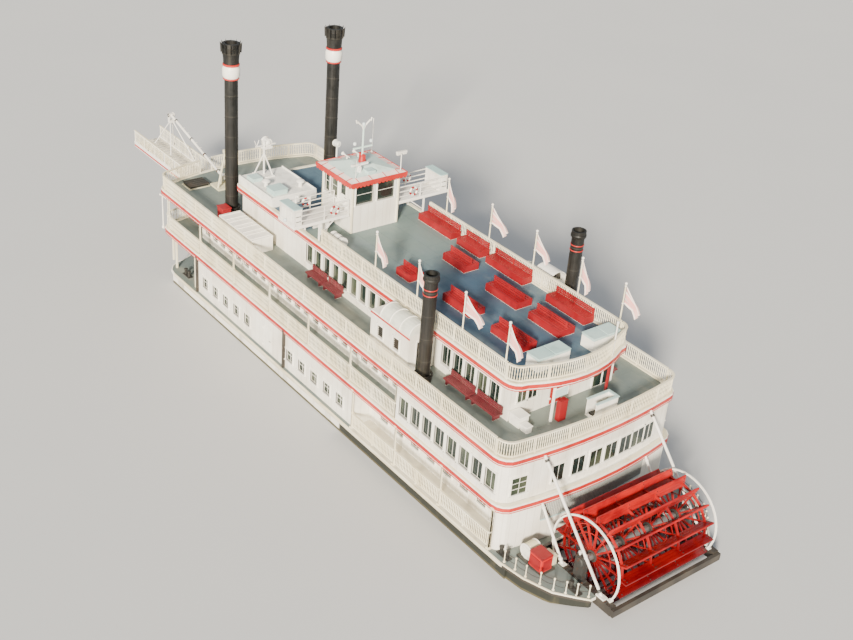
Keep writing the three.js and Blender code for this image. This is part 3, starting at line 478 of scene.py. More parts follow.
@dataclass(frozen=True)
class Bunting:
    """Thin woven flag cloth with bars along its length, faded towards its free end."""

    name: str
    field: Colour
    bars: Colour
    count: float = 3.0

    def build(self) -> Material:
        """Lays the material on the cloth's own UV map."""
        shader = Shader(self.name)
        uv = shader.add("TexCoord", {}).outputs["UV"]
        flat = shader.parts(uv)
        wave = shader.math("FRACT", shader.times(flat.outputs[1], self.count))
        bar = shader.step(shader.math("ABSOLUTE", shader.less(wave, 0.5)), 0.27, 0.29, 1.0, 0.0)
        colour = shader.blend(bar, self.field, self.bars)
        fade = shader.step(flat.outputs[0], 0.5, 1.0, 0.0, 0.35)
        colour = shader.blend(fade, colour, self.field)
        weave = shader.add("TexWave", {"Vector": uv, "Scale": 60.0, "Distortion": 0.5}).outputs["Fac"]
        cross = shader.add("TexWave", {"Vector": uv, "Scale": 40.0}, bands_direction="Y").outputs["Fac"]
        shader.surface.inputs["Sheen Weight"].default_value = 0.3
        return shader.coat(colour, 0.85, shader.plus(weave, cross), 0.0008)


WARM_WHITE = 0xF3F0E6
SHADE_WHITE = 0xE4DED0
DUST = 0x968A76
STRIPE = 0xB2201C
SEAT_RED = 0x8E121A
PALE_TEAL = 0xBAD4D0
SKIRT = 0xF8E2D8
# Darker bench red for the third deck's bench solids: painted shade.
SHADED_BENCH_RED = 0x64242A


def twins(low: Point, high: Point, colour: Colour) -> tuple[Zone, Zone]:
    """A zone to port and its twin to starboard."""
    return Zone(low, high, colour), Zone((low[0], -high[1], low[2]), (high[0], -low[1], high[2]), colour)


class Recipe(Protocol):
    """Anything that lays a material."""

    def build(self) -> Material:
        """Lays the material."""


def made(recipe: Recipe) -> Material:
    """A field that holds the recipe's material."""
    return field(default_factory=recipe.build)


@dataclass(frozen=True)
class Finishes:
    """Every finish of the boat, built once."""

    wall: Material = made(Paint("Wall paint", WARM_WHITE, SHADE_WHITE, DUST, 0.28, 0.42, 0.3,
        twins((-9.85, 4.5, 9.885), (-6.85, 6.2, 10.7), 0xDCDED0)))
    trim: Material = made(Paint("Trim paint", 0xF6F3EA, WARM_WHITE, DUST, 0.25, 0.4))
    rail: Material = made(Paint("Rail paint", 0xE8DEBE, 0xF0EAD4, 0x928260, 0.35, 0.45))
    red: Material = made(Paint("Red stripe paint", STRIPE, 0xC23C32, 0x78221C, 0.4, 0.42))
    bench: Material = made(Paint("Red bench paint", 0x8A1018, 0xA02226, 0x460E12, 0.5, 0.45))
    # Bench paint darkened as painted shade, with extra dust streaks, for the third deck's benches.
    dusty: Material = made(Paint("Dusty bench paint", 0x68242A, 0x7E4042, 0x543A36, 0.6, 0.6))
    steel: Material = made(Paint("White steel paint", 0xF0EEE8, 0xE2DED4, 0x96785A, 0.35, 0.4))
    roof: Material = made(Paint("Roof paint", 0xCEE2DA, 0xBED6CE, 0x82887A, 0.35, 0.5, 0.0,
        (Zone((2.0, -2.4, 13.7), (2.62, 2.4, 14.3), SKIRT), Zone((5.78, -2.4, 13.7), (6.4, 2.4, 14.3), SKIRT),
        *twins((2.0, 1.77, 13.7), (6.4, 2.4, 14.3), SKIRT))))
    # Pale teal paint; on the stair coaming's cap and the wing lids it is painted shade.
    teal: Material = made(Paint("Pale teal paint", PALE_TEAL, 0xA8C8C6, 0x788C88, 0.3, 0.5))
    olive: Material = made(Paint("Buff paint", 0xCEC8A6, 0xDCD6BA, 0x827854, 0.4, 0.5))
    # Black gear paint; also the black disc of painted shade inside the stair hood.
    black: Material = made(Paint("Black gear paint", 0x262624, 0x363430, 0x604E3C, 0.4, 0.5))
    grey: Material = made(Paint("Grey gear paint", 0x8E928E, 0x9EA09A, 0x605A4E, 0.4, 0.55))
    deck: Material = made(DeckPaint("Walkway deck paint", 0x747E78, 0x657170, 0x929486, SHADE_WHITE,
        (*twins((19.3, 6.5, 4.1), (20.5, 7.1, 7.0), WARM_WHITE), Zone((-21.0, -7.0, 4.25), (-9.8, 7.0, 4.4),
        WARM_WHITE), Zone((-19.3, -6.95, 1.1), (-5.5, 6.95, 1.3), 0xDED8C6))))
    third: Material = made(DeckPaint("Third deck paint", 0x747E78, 0x657170, 0x929486, SHADE_WHITE,
        (Zone((-20.0, -6.5, 7.352), (18.0, 6.5, 10.0), WARM_WHITE),
        # The third deck's bench solids take the darker red: painted shade.
        *twins((-16.5, 4.2, 7.352), (3.4, 4.9, 8.3), SHADED_BENCH_RED), Zone((13.0, 4.8, 7.352), (14.0, 5.6, 8.3),
        SEAT_RED), Zone((-17.9, -2.5, 7.352), (-17.6, -2.3, 10.0), SEAT_RED),
        Zone((18.8, 3.4, 7.352), (20.1, 5.1, 7.7), 0x262624))))
    top: Material = made(DeckPaint(
        "Top deck paint", 0x3A5468, 0x506876, 0x78868A, SHADE_WHITE, (
            Zone((-20.0, -5.0, 10.142), (7.0, 5.0, 11.2), SEAT_RED),
            Zone((7.0, -5.0, 10.142), (14.0, 5.0, 13.0), 0xF0EEE6),
            Zone((-17.0, -5.0, 10.142), (-15.7, 5.0, 10.84), WARM_WHITE),
            Zone((-17.0, -5.0, 10.84), (-15.7, 5.0, 11.0), PALE_TEAL),
            Zone((0.4, 3.3, 10.142), (1.95, 4.2, 11.2), WARM_WHITE),
            Zone((3.2, 2.85, 10.142), (4.75, 3.75, 11.2), WARM_WHITE)), 0x788983))
    hull: Material = made(HullPaint("Hull paint", 0x262822, 0xE8E4DA, 0x625A3E))
    glass: Material = made(Glazing("Cabin glass", 0x1A2623, 0x4A5242))
    # The wheel darkens towards its bottom: partly wet paddles, partly painted shade.
    wheel: Material = made(PaintedTimber("Wheel paint", 0x8E090E, 0xB81814, 0x62261C, 0x32040A, 3.6))
    timber: Material = made(PaintedTimber("Dark fender timber", 0x302C28, 0x464038, 0x786854, 0x1A1814))
    fender: Material = made(PaintedTimber("Pale fender timber", 0xCCC2A8, 0xE0D8C2, 0x605442, 0x70624A, 0.0,
        (Zone((-26.0, -7.2, 0.9), (-20.6, 7.2, 1.16), 0x3A342E),)))
    beam: Material = made(PaintedTimber("Wheel beam timber", 0x302C28, 0x464038, 0x786854, 0x1A1814, 0.0,
        (Zone((-23.0, -5.0, 1.215), (-19.8, 5.0, 4.3), WARM_WHITE),)))
    gear: Material = made(Paint("Fantail gear paint", 0x363632, 0x4A4640, 0x6E5842, 0.4, 0.5, 0.0,
        (Zone((-22.45, 4.9, 1.3), (-21.35, 5.9, 2.3), 0xC42422), Zone((-21.4, 4.8, 1.3), (-20.4, 5.7, 2.3),
        WARM_WHITE))))
    plank: Material = made(PaintedTimber("Stage planks", 0xDED6C4, 0xECE6D6, 0xA08868, 0x96866C))
    stack: Material = made(StackPaint("Stack paint", 0x10110F, 0x221D18, 0x3E3A32))
    shaft: Material = made(Metal("Shaft steel", 0x969692, 0x684028))
    iron: Material = made(Metal("Cast iron", 0x464644, 0x68402A, 0.5, 0.55))
    lamp: Material = made(Glazing("Lamp glass", 0xD2DEE0, 0xF0F4F0))
    flag: Material = made(Bunting("Flag cloth", 0xF2E4DC, 0xE2A49C))


# Meshes


class Shape:
    """A mesh under construction, in the boat's real metres."""

    def __init__(self) -> None:
        """Starts an empty mesh."""
        self.mesh = bmesh.new()

    def skin(self, rings: Sequence[Sequence[Point]], closed: bool = False) -> Shape:
        """Joins rings of equal length, one after another, and fills the ends.

        Args:
            rings: The rings.
            closed: Whether the last ring joins the first, so that nothing is filled.

        Returns:
            This shape.
        """
        rows = [[self.mesh.verts.new(point) for point in ring] for ring in rings]
        count = len(rows[0])
        pairs = list(zip(rows, rows[1:])) + ([(rows[-1], rows[0])] if closed else [])
        for low, high in pairs:
            for i in range(count):
                j = (i + 1) % count
                self.mesh.faces.new((low[i], low[j], high[j], high[i]))
        if not closed:
            self.mesh.faces.new(list(reversed(rows[0])))
            self.mesh.faces.new(rows[-1])
        return self

    def box(self, x: Flat, y: Flat, z: Flat) -> Shape:
        """Adds a box between two values on each axis."""
        (x0, x1), (y0, y1) = sorted(x), sorted(y)
        corners = [(x0, y0), (x1, y0), (x1, y1), (x0, y1)]
        return self.skin([[(*corner, height) for corner in corners] for height in sorted(z)])

    def ribbon(self, outer: Sequence[Flat], inner: Sequence[Flat], z: Flat, closed: bool) -> Shape:
        """Adds a band between two lines in plan, from one height to another."""
        low, high = z
        rings = [[(*a, low), (*a, high), (*b, high), (*b, low)] for a, b in zip(outer, inner)]
        return self.skin(rings, closed=closed)

    def tube(self, path: Sequence[Point], radius: float, sides: int = 8, closed: bool = False) -> Shape:
        """Adds a round bar along a path.

        Args:
            path: The points it follows.
            radius: Its radius.
            sides: Faces round it.
            closed: Whether the path is a loop.

        Returns:
            This shape.
        """
        points = [Vector(point) for point in path]
        count = len(points)
        rings = []
        across = None
        for i, point in enumerate(points):
            before = points[i - 1] if i or closed else point
            after = points[(i + 1) % count] if i + 1 < count or closed else point
            ahead = (after - before).normalized()
            if across is None:
                across = ahead.orthogonal().normalized()
            across = (across - across.dot(ahead) * ahead).normalized()
            beside = ahead.cross(across)
            turns = [2 * math.pi * k / sides for k in range(sides)]
            rings.append([tuple(point + radius * (math.cos(t) * across + math.sin(t) * beside))
                for t in turns])
        return self.skin(rings, closed=closed)

    def turned(self, foot: Point, axis: Point, profile: Sequence[Flat], sides: int = 24,
            closed: bool = False) -> Shape:
        """Adds a solid turned about an axis.

        Args:
            foot: The axis's start.
            axis: Its direction.
            profile: Radius and distance along the axis, from one end to the other.
            sides: Faces round it.
            closed: Whether the profile is a loop, which makes a ring.

        Returns:
            This shape.
        """
        line = Vector(axis).normalized()
        start = Vector(foot)
        across = line.orthogonal().normalized()
        beside = line.cross(across)
        turns = [2 * math.pi * k / sides for k in range(sides)]
        rings = [
            [tuple(start + along * line + max(radius, 1e-4) * (math.cos(t) * across + math.sin(t) * beside))
            for t in turns] for radius, along in profile]
        return self.skin(rings, closed=closed)

    def ball(self, centre: Point, radius: float, sides: int = 12) -> Shape:
        """Adds a ball."""
        rows = sides // 2
        profile = [(radius * math.sin(math.pi * i / rows), -radius * math.cos(math.pi * i / rows))
            for i in range(rows + 1)]
        return self.turned(centre, UP, profile, sides)

    def piece(self, name: str, finish: Material, body: str = "boat", slot: str = "", bevel: float = 0.0,
            smooth: float = 0.0) -> Object:
        """Turns the mesh into a piece that rides on a body, as dress does."""
        bmesh.ops.remove_doubles(self.mesh, verts=self.mesh.verts, dist=1e-4)
        bmesh.ops.recalc_face_normals(self.mesh, faces=self.mesh.faces)
        data = bpy.data.meshes.new(name)
        self.mesh.transform(TO_MODEL)
        self.mesh.to_mesh(data)
        self.mesh.free()
        return dress(bpy.data.objects.new(name, data), finish, body, bevel, smooth)


def dress(piece: Object, finish: Material, body: str, bevel: float = 0.0,
        smooth: float = 0.0) -> Object:
    """Links a piece, gives it its finish and edges, and sets it on its body.

    Args:
        piece: The object.
        finish: Its material.
        body: The body it rides on.
        bevel: Width of the rounded edges in real metres.
        smooth: Angle in degrees under which faces are shaded as one.

    Returns:
        The piece.
    """
    bpy.context.scene.collection.objects.link(piece)
    piece.data.materials.clear()
    piece.data.materials.append(finish)
    if smooth:
        piece.data.shade_smooth()
        piece.data.set_sharp_from_angle(angle=math.radians(smooth))
    if bevel:
        edges = piece.modifiers.new("Edges", "BEVEL")
        edges.width = bevel * SCALE
        edges.segments = 2
        edges.limit_method = "ANGLE"
        edges.harden_normals = False
    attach(piece, body)
    return piece


class Graph(Tree):
    """A geometry node tree with named sizes, that makes one repeated form."""

    def __init__(self, name: str) -> None:
        """Starts a tree that takes a geometry.

        Args:
            name: The tree's name.
        """
        self.tree = bpy.data.node_groups.new(name, "GeometryNodeTree")
        super().__init__(self.tree, "GeometryNode")
        for way in ("INPUT", "OUTPUT"):
            self.tree.interface.new_socket("Geometry", in_out=way, socket_type="NodeSocketGeometry")
        self.start, self.end = self.nodes.new("NodeGroupInput"), self.nodes.new("NodeGroupOutput")
        self.identifiers: dict[str, str] = {}

    def size(self, name: str, value: int | float | Point = ORIGIN) -> Socket:
        """Adds a named input and gives its socket."""
        kinds = {int: "NodeSocketInt", float: "NodeSocketFloat", tuple: "NodeSocketVector"}
        item = self.tree.interface.new_socket(name, in_out="INPUT", socket_type=kinds[type(value)])
        item.default_value = value
        self.identifiers[name] = item.identifier
        return self.start.outputs[name]

    def vector(self, x=0.0, y=0.0, z=0.0) -> Socket:
        """A vector from three values or sockets."""
        return self.add("CombineXYZ", {0: x, 1: y, 2: z}, SHADER).outputs[0]

    def bar(self, size: Sequence, centre: Sequence) -> Socket:
        """A box by its size and centre, each of three values or sockets."""
        cube = self.add("MeshCube", {"Size": self.vector(*size)})
        return self.move(cube.outputs[0], self.vector(*centre))

    def move(self, geometry, shift=None, turn=None) -> Socket:
        """Shifts and turns a geometry."""
        inputs = {"Geometry": geometry}
        if shift is not None:
            inputs["Translation"] = shift
        if turn is not None:
            inputs["Rotation"] = turn
        return self.add("Transform", inputs).outputs[0]

    def join(self, parts: Iterable[Socket]) -> Socket:
        """One geometry from several."""
        node = self.add("JoinGeometry", {})
        for part in parts:
            self.links.new(part, node.inputs[0])
        return node.outputs[0]

    def row(self, count, first, step) -> Socket:
        """Points in a line."""
        inputs = {"Count": count, "Start Location": first, "Offset": step}
        return self.add("MeshLine", inputs, mode="OFFSET").outputs[0]

    def repeat(self, points, form, turn=None) -> Socket:
        """The form at each point."""
        inputs = {"Points": points, "Instance": form}
        if turn is not None:
            inputs["Rotation"] = turn
        return self.add("InstanceOnPoints", inputs).outputs[0]

    def along(self, spacing) -> Socket:
        """Points at an even spacing along the edges that the tree is given."""
        line = self.add("MeshToCurve", {"Mesh": self.start.outputs[0]}).outputs[0]
        return self.add("ResampleCurve", {"Curve": line, "Length": spacing}, mode="LENGTH").outputs[0]

    def index(self) -> Socket:
        """Number of the point."""
        return self.add("Index", {}, "GeometryNodeInput").outputs[0]

    def lined(self, form, finish: Material) -> Graph:
        """Ends the tree in a row of the form, set by First, Step, Count and Turn."""
        points = self.row(self.size("Count", 1), self.size("First"), self.size("Step"))
        return self.close(self.repeat(points, form, self.size("Turn")), finish)

    def close(self, geometry, finish: Material) -> Graph:
        """Ends the tree in real meshes with their material."""
        real = self.add("RealizeInstances", {"Geometry": geometry}).outputs[0]
        done = self.add("SetMaterial", {"Geometry": real, "Material": finish})
        self.links.new(done.outputs[0], self.end.inputs[0])
        return self


def polyline(points: Sequence[Point], closed: bool = False) -> Mesh:
    """A mesh of edges through the points, for a tree to follow."""
    data = bpy.data.meshes.new("Line")
    edges = [(i, i + 1) for i in range(len(points) - 1)] + ([(len(points) - 1, 0)] if closed else [])
    data.from_pydata([tuple(point) for point in points], edges, [])
    return data


def grow(name: str, graph: Graph, finish: Material, body: str = "boat", slot: str = "",
        line: Mesh | None = None, smooth: float = 0.0, **sizes) -> Object:
    """Runs a tree once and keeps its result as a plain piece.

    Args:
        name: The piece's name.
        graph: The tree.
        finish: Its material.
        body: The body it rides on.
        slot: The record's material slot, or nothing; it is not used.
        line: The mesh of edges that the tree follows, if it follows one.
        smooth: Angle in degrees under which faces are shaded as one.
        sizes: Values for the tree's named inputs.

    Returns:
        The piece.
    """
    seed = bpy.data.objects.new(name + "_seed", line or bpy.data.meshes.new("Seed"))
    bpy.context.scene.collection.objects.link(seed)
    modifier = seed.modifiers.new("Repeat", "NODES")
    modifier.node_group = graph.tree
    for key, value in sizes.items():
        modifier[graph.identifiers[key]] = value
    graph_view = bpy.context.evaluated_depsgraph_get()
    data = bpy.data.meshes.new_from_object(seed.evaluated_get(graph_view))
    seed.modifiers.remove(modifier)
    bpy.data.objects.remove(seed)
    data.transform(TO_MODEL)
    return dress(bpy.data.objects.new(name, data), finish, body, smooth=smooth)


# The boat's lines


@dataclass(frozen=True)
class DeckPlan:
    """Outline of one deck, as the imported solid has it."""

    height: float
    half: float
    aft: float
    aft_bow: float
    aft_corner: float
    fore: float
    fore_bow: float
    fore_corner: float

    @staticmethod
    def end(line: float, bow: float, corner: float, half: float, inset: float) -> list[Flat]:
        """One end's edge, as if it were the aft end."""
        breadth = half - inset
        radius = max(corner - inset, 0.1)
        edge = line + inset
        points = []
        for i in range(5):
            angle = math.pi / 8 * i
            points.append((edge + radius - radius * math.sin(angle),
                breadth - radius + radius * math.cos(angle)))
        near = list(points)
        for i in range(1, 8):
            share = 1 - i / 4
            points.append((edge - bow * (1 - share * share), share * (breadth - radius)))
        return points + [(x, -y) for x, y in reversed(near)]

    def aft_edge(self, inset: float = 0.0) -> list[Flat]:
        """The aft edge, from port to starboard."""
        return self.end(self.aft, self.aft_bow, self.aft_corner, self.half, inset)

    def fore_edge(self, inset: float = 0.0) -> list[Flat]:
        """The fore edge, from starboard to port."""
        edge = self.end(-self.fore, self.fore_bow, self.fore_corner, self.half, inset)
        return [(-x, -y) for x, y in edge]

    def outline(self, inset: float = 0.0) -> list[Flat]:
        """The whole edge."""
        return self.aft_edge(inset) + self.fore_edge(inset)

    def side(self, side: Side, x0: float, x1: float, inset: float) -> list[Flat]:
        """A straight run along one side."""
        return [(x0, side.value * (self.half - inset)), (x1, side.value * (self.half - inset))]


MAIN = DeckPlan(MAIN_Z, 6.95, -19.7, 0.5, 0.9, 19.6, 1.6, 1.6)
SECOND = DeckPlan(SECOND_Z, 6.81, -19.9, 0.55, 0.9, 20.2, 0.9, 0.9)
THIRD = DeckPlan(THIRD_Z, 6.81, -19.65, 0.42, 0.95, 20.7, 0.9, 0.9)
TOP = DeckPlan(TOP_Z, 4.54, -17.35, 0.9, 0.9, 13.0, 0.35, 0.5)
FANTAIL: tuple[Flat, ...] = ((-20.4, 6.9), (-22.0, 6.7), (-23.7, 6.1), (-24.7, 5.3), (-25.3, 4.75))
GATE = 0.5
BOOM_Y = 2.4


def mirrored(points: Sequence[Flat], side: Side) -> list[Flat]:
    """The port points, taken to the side."""
    return [(x, side.value * y) for x, y in points]


# Sub-assemblies


@dataclass
class Studio:
    """Camera at the photograph's angle, pale floor at the waterline, and soft light."""

    camera: Point = (-57.03, 44.32, 46.51)
    aim: Point = (-5.18, 1.08, 7.2)
    lens: float = 51.8
    roll: float = 5.0
    sun: Point = (-0.6, 0.7, 0.37)

    def build(self) -> None:
        """Makes the camera, the floor and the lights."""
        self.make_camera()
        self.make_floor()
        self.make_lights()

    def make_camera(self) -> None:
        """Camera that looks from the photograph's point at the boat."""
        data = bpy.data.cameras.new("Camera")
        data.lens = self.lens
        data.sensor_width = 36.0
        data.clip_end = 1000.0
        camera = bpy.data.objects.new("Camera", data)
        place = TO_MODEL @ Vector(self.camera)
        look = (TO_MODEL @ Vector(self.aim)) - place
        turn = look.to_track_quat("-Z", "Y").to_matrix().to_4x4()
        camera.matrix_world = Matrix.Translation(place) @ turn @ Matrix.Rotation(math.radians(self.roll), 4,
            "Z")
        bpy.context.scene.collection.objects.link(camera)
        bpy.context.scene.camera = camera

    def make_floor(self) -> None:
        """Pale floor level with the water, with a faint unevenness."""
        reach = 260.0
        level = DRAFT * SCALE
        corners = [(-reach, -reach, level), (reach, -reach, level), (reach, reach, level),
            (-reach, reach, level)]
        data = bpy.data.meshes.new("Floor")
        data.from_pydata(corners, [], [(0, 1, 2, 3)])
        floor = bpy.data.objects.new("Floor", data)
        shader = Shader("Floor")
        tone = shader.blend(shader.noise(0.2), 0xC0C2C4, 0xC6C7C7)
        data.materials.append(shader.coat(tone, 0.9))
        bpy.context.scene.collection.objects.link(floor)

    def make_lights(self) -> None:
        """A broad soft sun from the port quarter, a low fill from ahead, and a pale surround."""
        for name, way, power, spread, colour in (("Key", self.sun, 12.0, 8.0, 0xFFF4E2),
                ("Fill", (-0.3, -0.8, 0.7), 0.25, 60.0, 0xECF2FF)):
            data = bpy.data.lights.new(name, "SUN")
            data.energy = power
            data.angle = math.radians(spread)
            data.color = tint(colour)
            lamp = bpy.data.objects.new(name, data)
            lamp.matrix_world = Vector(way).to_track_quat("Z", "Y").to_matrix().to_4x4()
            bpy.context.scene.collection.objects.link(lamp)
        world = bpy.data.worlds.new("Surround")
        world.use_nodes = True
        world.node_tree.nodes["Background"].inputs[0].default_value = (*tint(0xE2E8EE), 1.0)
        world.node_tree.nodes["Background"].inputs[1].default_value = 0.62
        bpy.context.scene.world = world


@dataclass
class Solids:
    """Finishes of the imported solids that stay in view."""

    finishes: Finishes
    frame: dict

    def build(self) -> None:
        """Gives each solid the finish of its slot."""
        f = self.finishes
        by_slot = {"hull_paint": f.hull, "deck_paint": f.deck, "top_deck_paint": f.top, "wall_paint": f.wall,
            "window_glass": f.glass, "rail_paint": f.rail, "door_red": f.red, "door_paint": f.trim,
            "roof_paint": f.roof, "wheel_red": f.wheel, "shaft_steel": f.shaft, "bearing_iron": f.iron,
            "dark_timber": f.timber, "white_steel": f.steel, "stack_paint": f.stack}
        special = {"boom_frame": f.olive, "wheel_guard_port": f.trim, "wheel_guard_stbd": f.trim,
            "third_deck": f.third, "fantail_winch": f.gear, "wheel_beam_port": f.beam,
            "wheel_beam_stbd": f.beam}
        for row in self.frame["record"]["subparts"]:
            node = self.frame["nodes"][row["node"]]
            node.data.materials.clear()
            node.data.materials.append(special.get(row["node"], by_slot[row["material_slot"]]))
        LOG.info("finished %d solids", len(self.frame["nodes"]))


@dataclass
class DeckEdges:
    """Fascia boards round the decks with their red stripes, and the fender along the main deck."""

    finishes: Finishes
    proud: float = 0.05
    drop: float = 0.2
    curb: float = 0.26

    def build(self) -> None:
        """Makes the boards of each deck."""
        for name, plan in (("second", SECOND), ("third", THIRD), ("top", TOP)):
            self.fascia(name, plan)
        self.fender()

    def fascia(self, name: str, plan: DeckPlan) -> None:
        """White board with a broad and a narrow red stripe."""
        top = plan.height + 0.03
        low = plan.height - PLATE - self.drop
        board = Shape().ribbon(plan.outline(-self.proud), plan.outline(-0.004), (low, top), True)
        board.piece(f"{name}_deck_fascia", self.finishes.trim, slot="wall_paint", bevel=0.012)
        curb = Shape().ribbon(plan.outline(0.0), plan.outline(self.curb),
            (plan.height + 0.001, plan.height + 0.06), True)
        curb.piece(f"{name}_deck_curb", self.finishes.rail, slot="rail_paint", bevel=0.01)
        stripes = Shape()
        outer, inner = plan.outline(-self.proud - 0.018), plan.outline(-self.proud - 0.001)
        stripes.ribbon(outer, inner, (plan.height - 0.3, plan.height - 0.05), True)
        stripes.ribbon(outer, inner, (low + 0.01, low + 0.07), True)
        stripes.piece(f"{name}_deck_stripes", self.finishes.red, slot="door_red", bevel=0.006)

    def fender(self) -> None:
        """Rubbing timber along the main deck's edge and round its after arms, with a pale cap."""
        for side in Side:
            cap, guard = Shape(), Shape()
            edge = mirrored([(18.0, 6.95), (-20.4, 6.95), *FANTAIL[1:]], side)
            out = mirrored([(18.0, 7.05), (-20.4, 7.05), (-22.05, 6.8), (-23.77, 6.19), (-24.78, 5.36),
                (-25.38, 4.8)], side)
            guard.ribbon(out, edge, (MAIN_Z - PLATE, MAIN_Z - 0.06), False)
            cap.ribbon(out, edge, (MAIN_Z - 0.058, MAIN_Z + 0.02), False)
            guard.piece(f"fender_{side.tag}", self.finishes.fender, slot="dark_timber", bevel=0.02)
            cap.piece(f"fender_cap_{side.tag}", self.finishes.rail, slot="rail_paint", bevel=0.012)
        bow = Shape().ribbon(MAIN.fore_edge(-0.09), MAIN.fore_edge(-0.002), (MAIN_Z - PLATE, MAIN_Z + 0.02),
            False)
        bow.piece("fender_bow", self.finishes.trim, slot="wall_paint", bevel=0.02)


@dataclass
class Balustrades:
    """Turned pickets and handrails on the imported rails."""

    finishes: Finishes
    inset: float = 0.135
    spacing: float = 0.15
    height: float = 1.08

    def build(self) -> None:
        """Follows every rail."""
        graph = self.graph()
        for name, height, (line, outer, inner) in self.runs():
            flat = [(x, y, height) for x, y in line]
            grow(f"pickets_{name}", graph, self.finishes.rail, slot="rail_paint", line=polyline(flat),
                Spacing=self.spacing)
            cap = Shape().ribbon(outer, inner, (height + self.height + 0.001, height + self.height + 0.045),
                False)
            cap.piece(f"handrail_{name}", self.finishes.rail, slot="rail_paint", bevel=0.01)

    def graph(self) -> Graph:
        """Tree of turned pickets along a line."""
        graph = Graph("Pickets")
        spacing = graph.size("Spacing", 0.17)
        spaced = graph.along(spacing)
        stem = graph.add("CurvePrimitiveLine", {"Start": (0.0, 0.0, 0.19), "End": (0.0, 0.0, 1.02)})
        stem = graph.add("ResampleCurve", {"Curve": stem.outputs[0], "Count": 7}).outputs[0]
        share = graph.add("SplineParameter", {}).outputs["Factor"]
        swell = graph.math("ABSOLUTE", graph.math("SINE", graph.times(share, 3 * math.pi)))
        radius = graph.plus(graph.times(swell, 0.016), 0.024)
        ring = graph.add("CurvePrimitiveCircle", {"Resolution": 5, "Radius": 1.0}).outputs[0]
        inputs = {"Curve": stem, "Profile Curve": ring, "Fill Caps": True, "Scale": radius}
        picket = graph.add("CurveToMesh", inputs)
        return graph.close(graph.repeat(spaced, picket.outputs[0]), self.finishes.rail)

    def lines(self, edge: Callable[[float], list[Flat]]) -> list[list[Flat]]:
        """Middle, outer and inner line of a rail along an edge."""
        return [edge(inset) for inset in (self.inset, self.inset - 0.075, self.inset + 0.075)]

    def runs(self) -> list[tuple[str, float, list[list[Flat]]]]:
        """Name, deck height and lines of every rail."""
        found = []
        for side in Side:
            for name, plan, x0, x1 in (("main", MAIN, -19.12, -5.58), ("second", SECOND, -9.72, 19.19),
                    ("third", THIRD, -18.59, 19.69), ("top", TOP, -16.34, 2.1)):
                lines = self.lines(lambda inset: plan.side(side, x0, x1, inset))
                found.append((f"{name}_{side.tag}", plan.height, lines))
        found.append(("third_aft", THIRD_Z, self.lines(THIRD.aft_edge)))
        found.append(("top_aft", TOP_Z, self.lines(TOP.aft_edge)))
        found.append(("second_bow", SECOND_Z, self.lines(SECOND.fore_edge)))
        for side in Side:
            gate = BOOM_Y + side.value * GATE
            lines = [self.clipped(line, gate, side) for line in self.lines(THIRD.fore_edge)]
            found.append((f"third_bow_{side.tag}", THIRD_Z, lines))
        return found

    @staticmethod
    def clipped(line: Sequence[Flat], gate: float, side: Side) -> list[Flat]:
        """The part of a bow line on one side of the gate."""
        index = next(i for i, point in enumerate(line) if point[1] > gate)
        (ax, ay), (bx, by) = line[index - 1], line[index]
        share = (gate - ay) / (by - ay)
        cut = (ax + (bx - ax) * share, gate)
        return [cut, *line[index:]] if side is Side.PORT else [*line[:index], cut]


class Muntins(Enum):
    """How a window is divided: upright bars and level bars."""

    PLAIN = (0, 0)
    SPLIT = (1, 0)
    SASH = (0, 1)
    PAIR = (1, 1)
    SIX = (1, 2)


@dataclass(frozen=True)
class WindowRow:
    """A row of like windows."""

    name: str
    first: Point
    step: Point
    count: int
    width: float
    height: float
    turn: float
    muntins: Muntins = Muntins.SASH


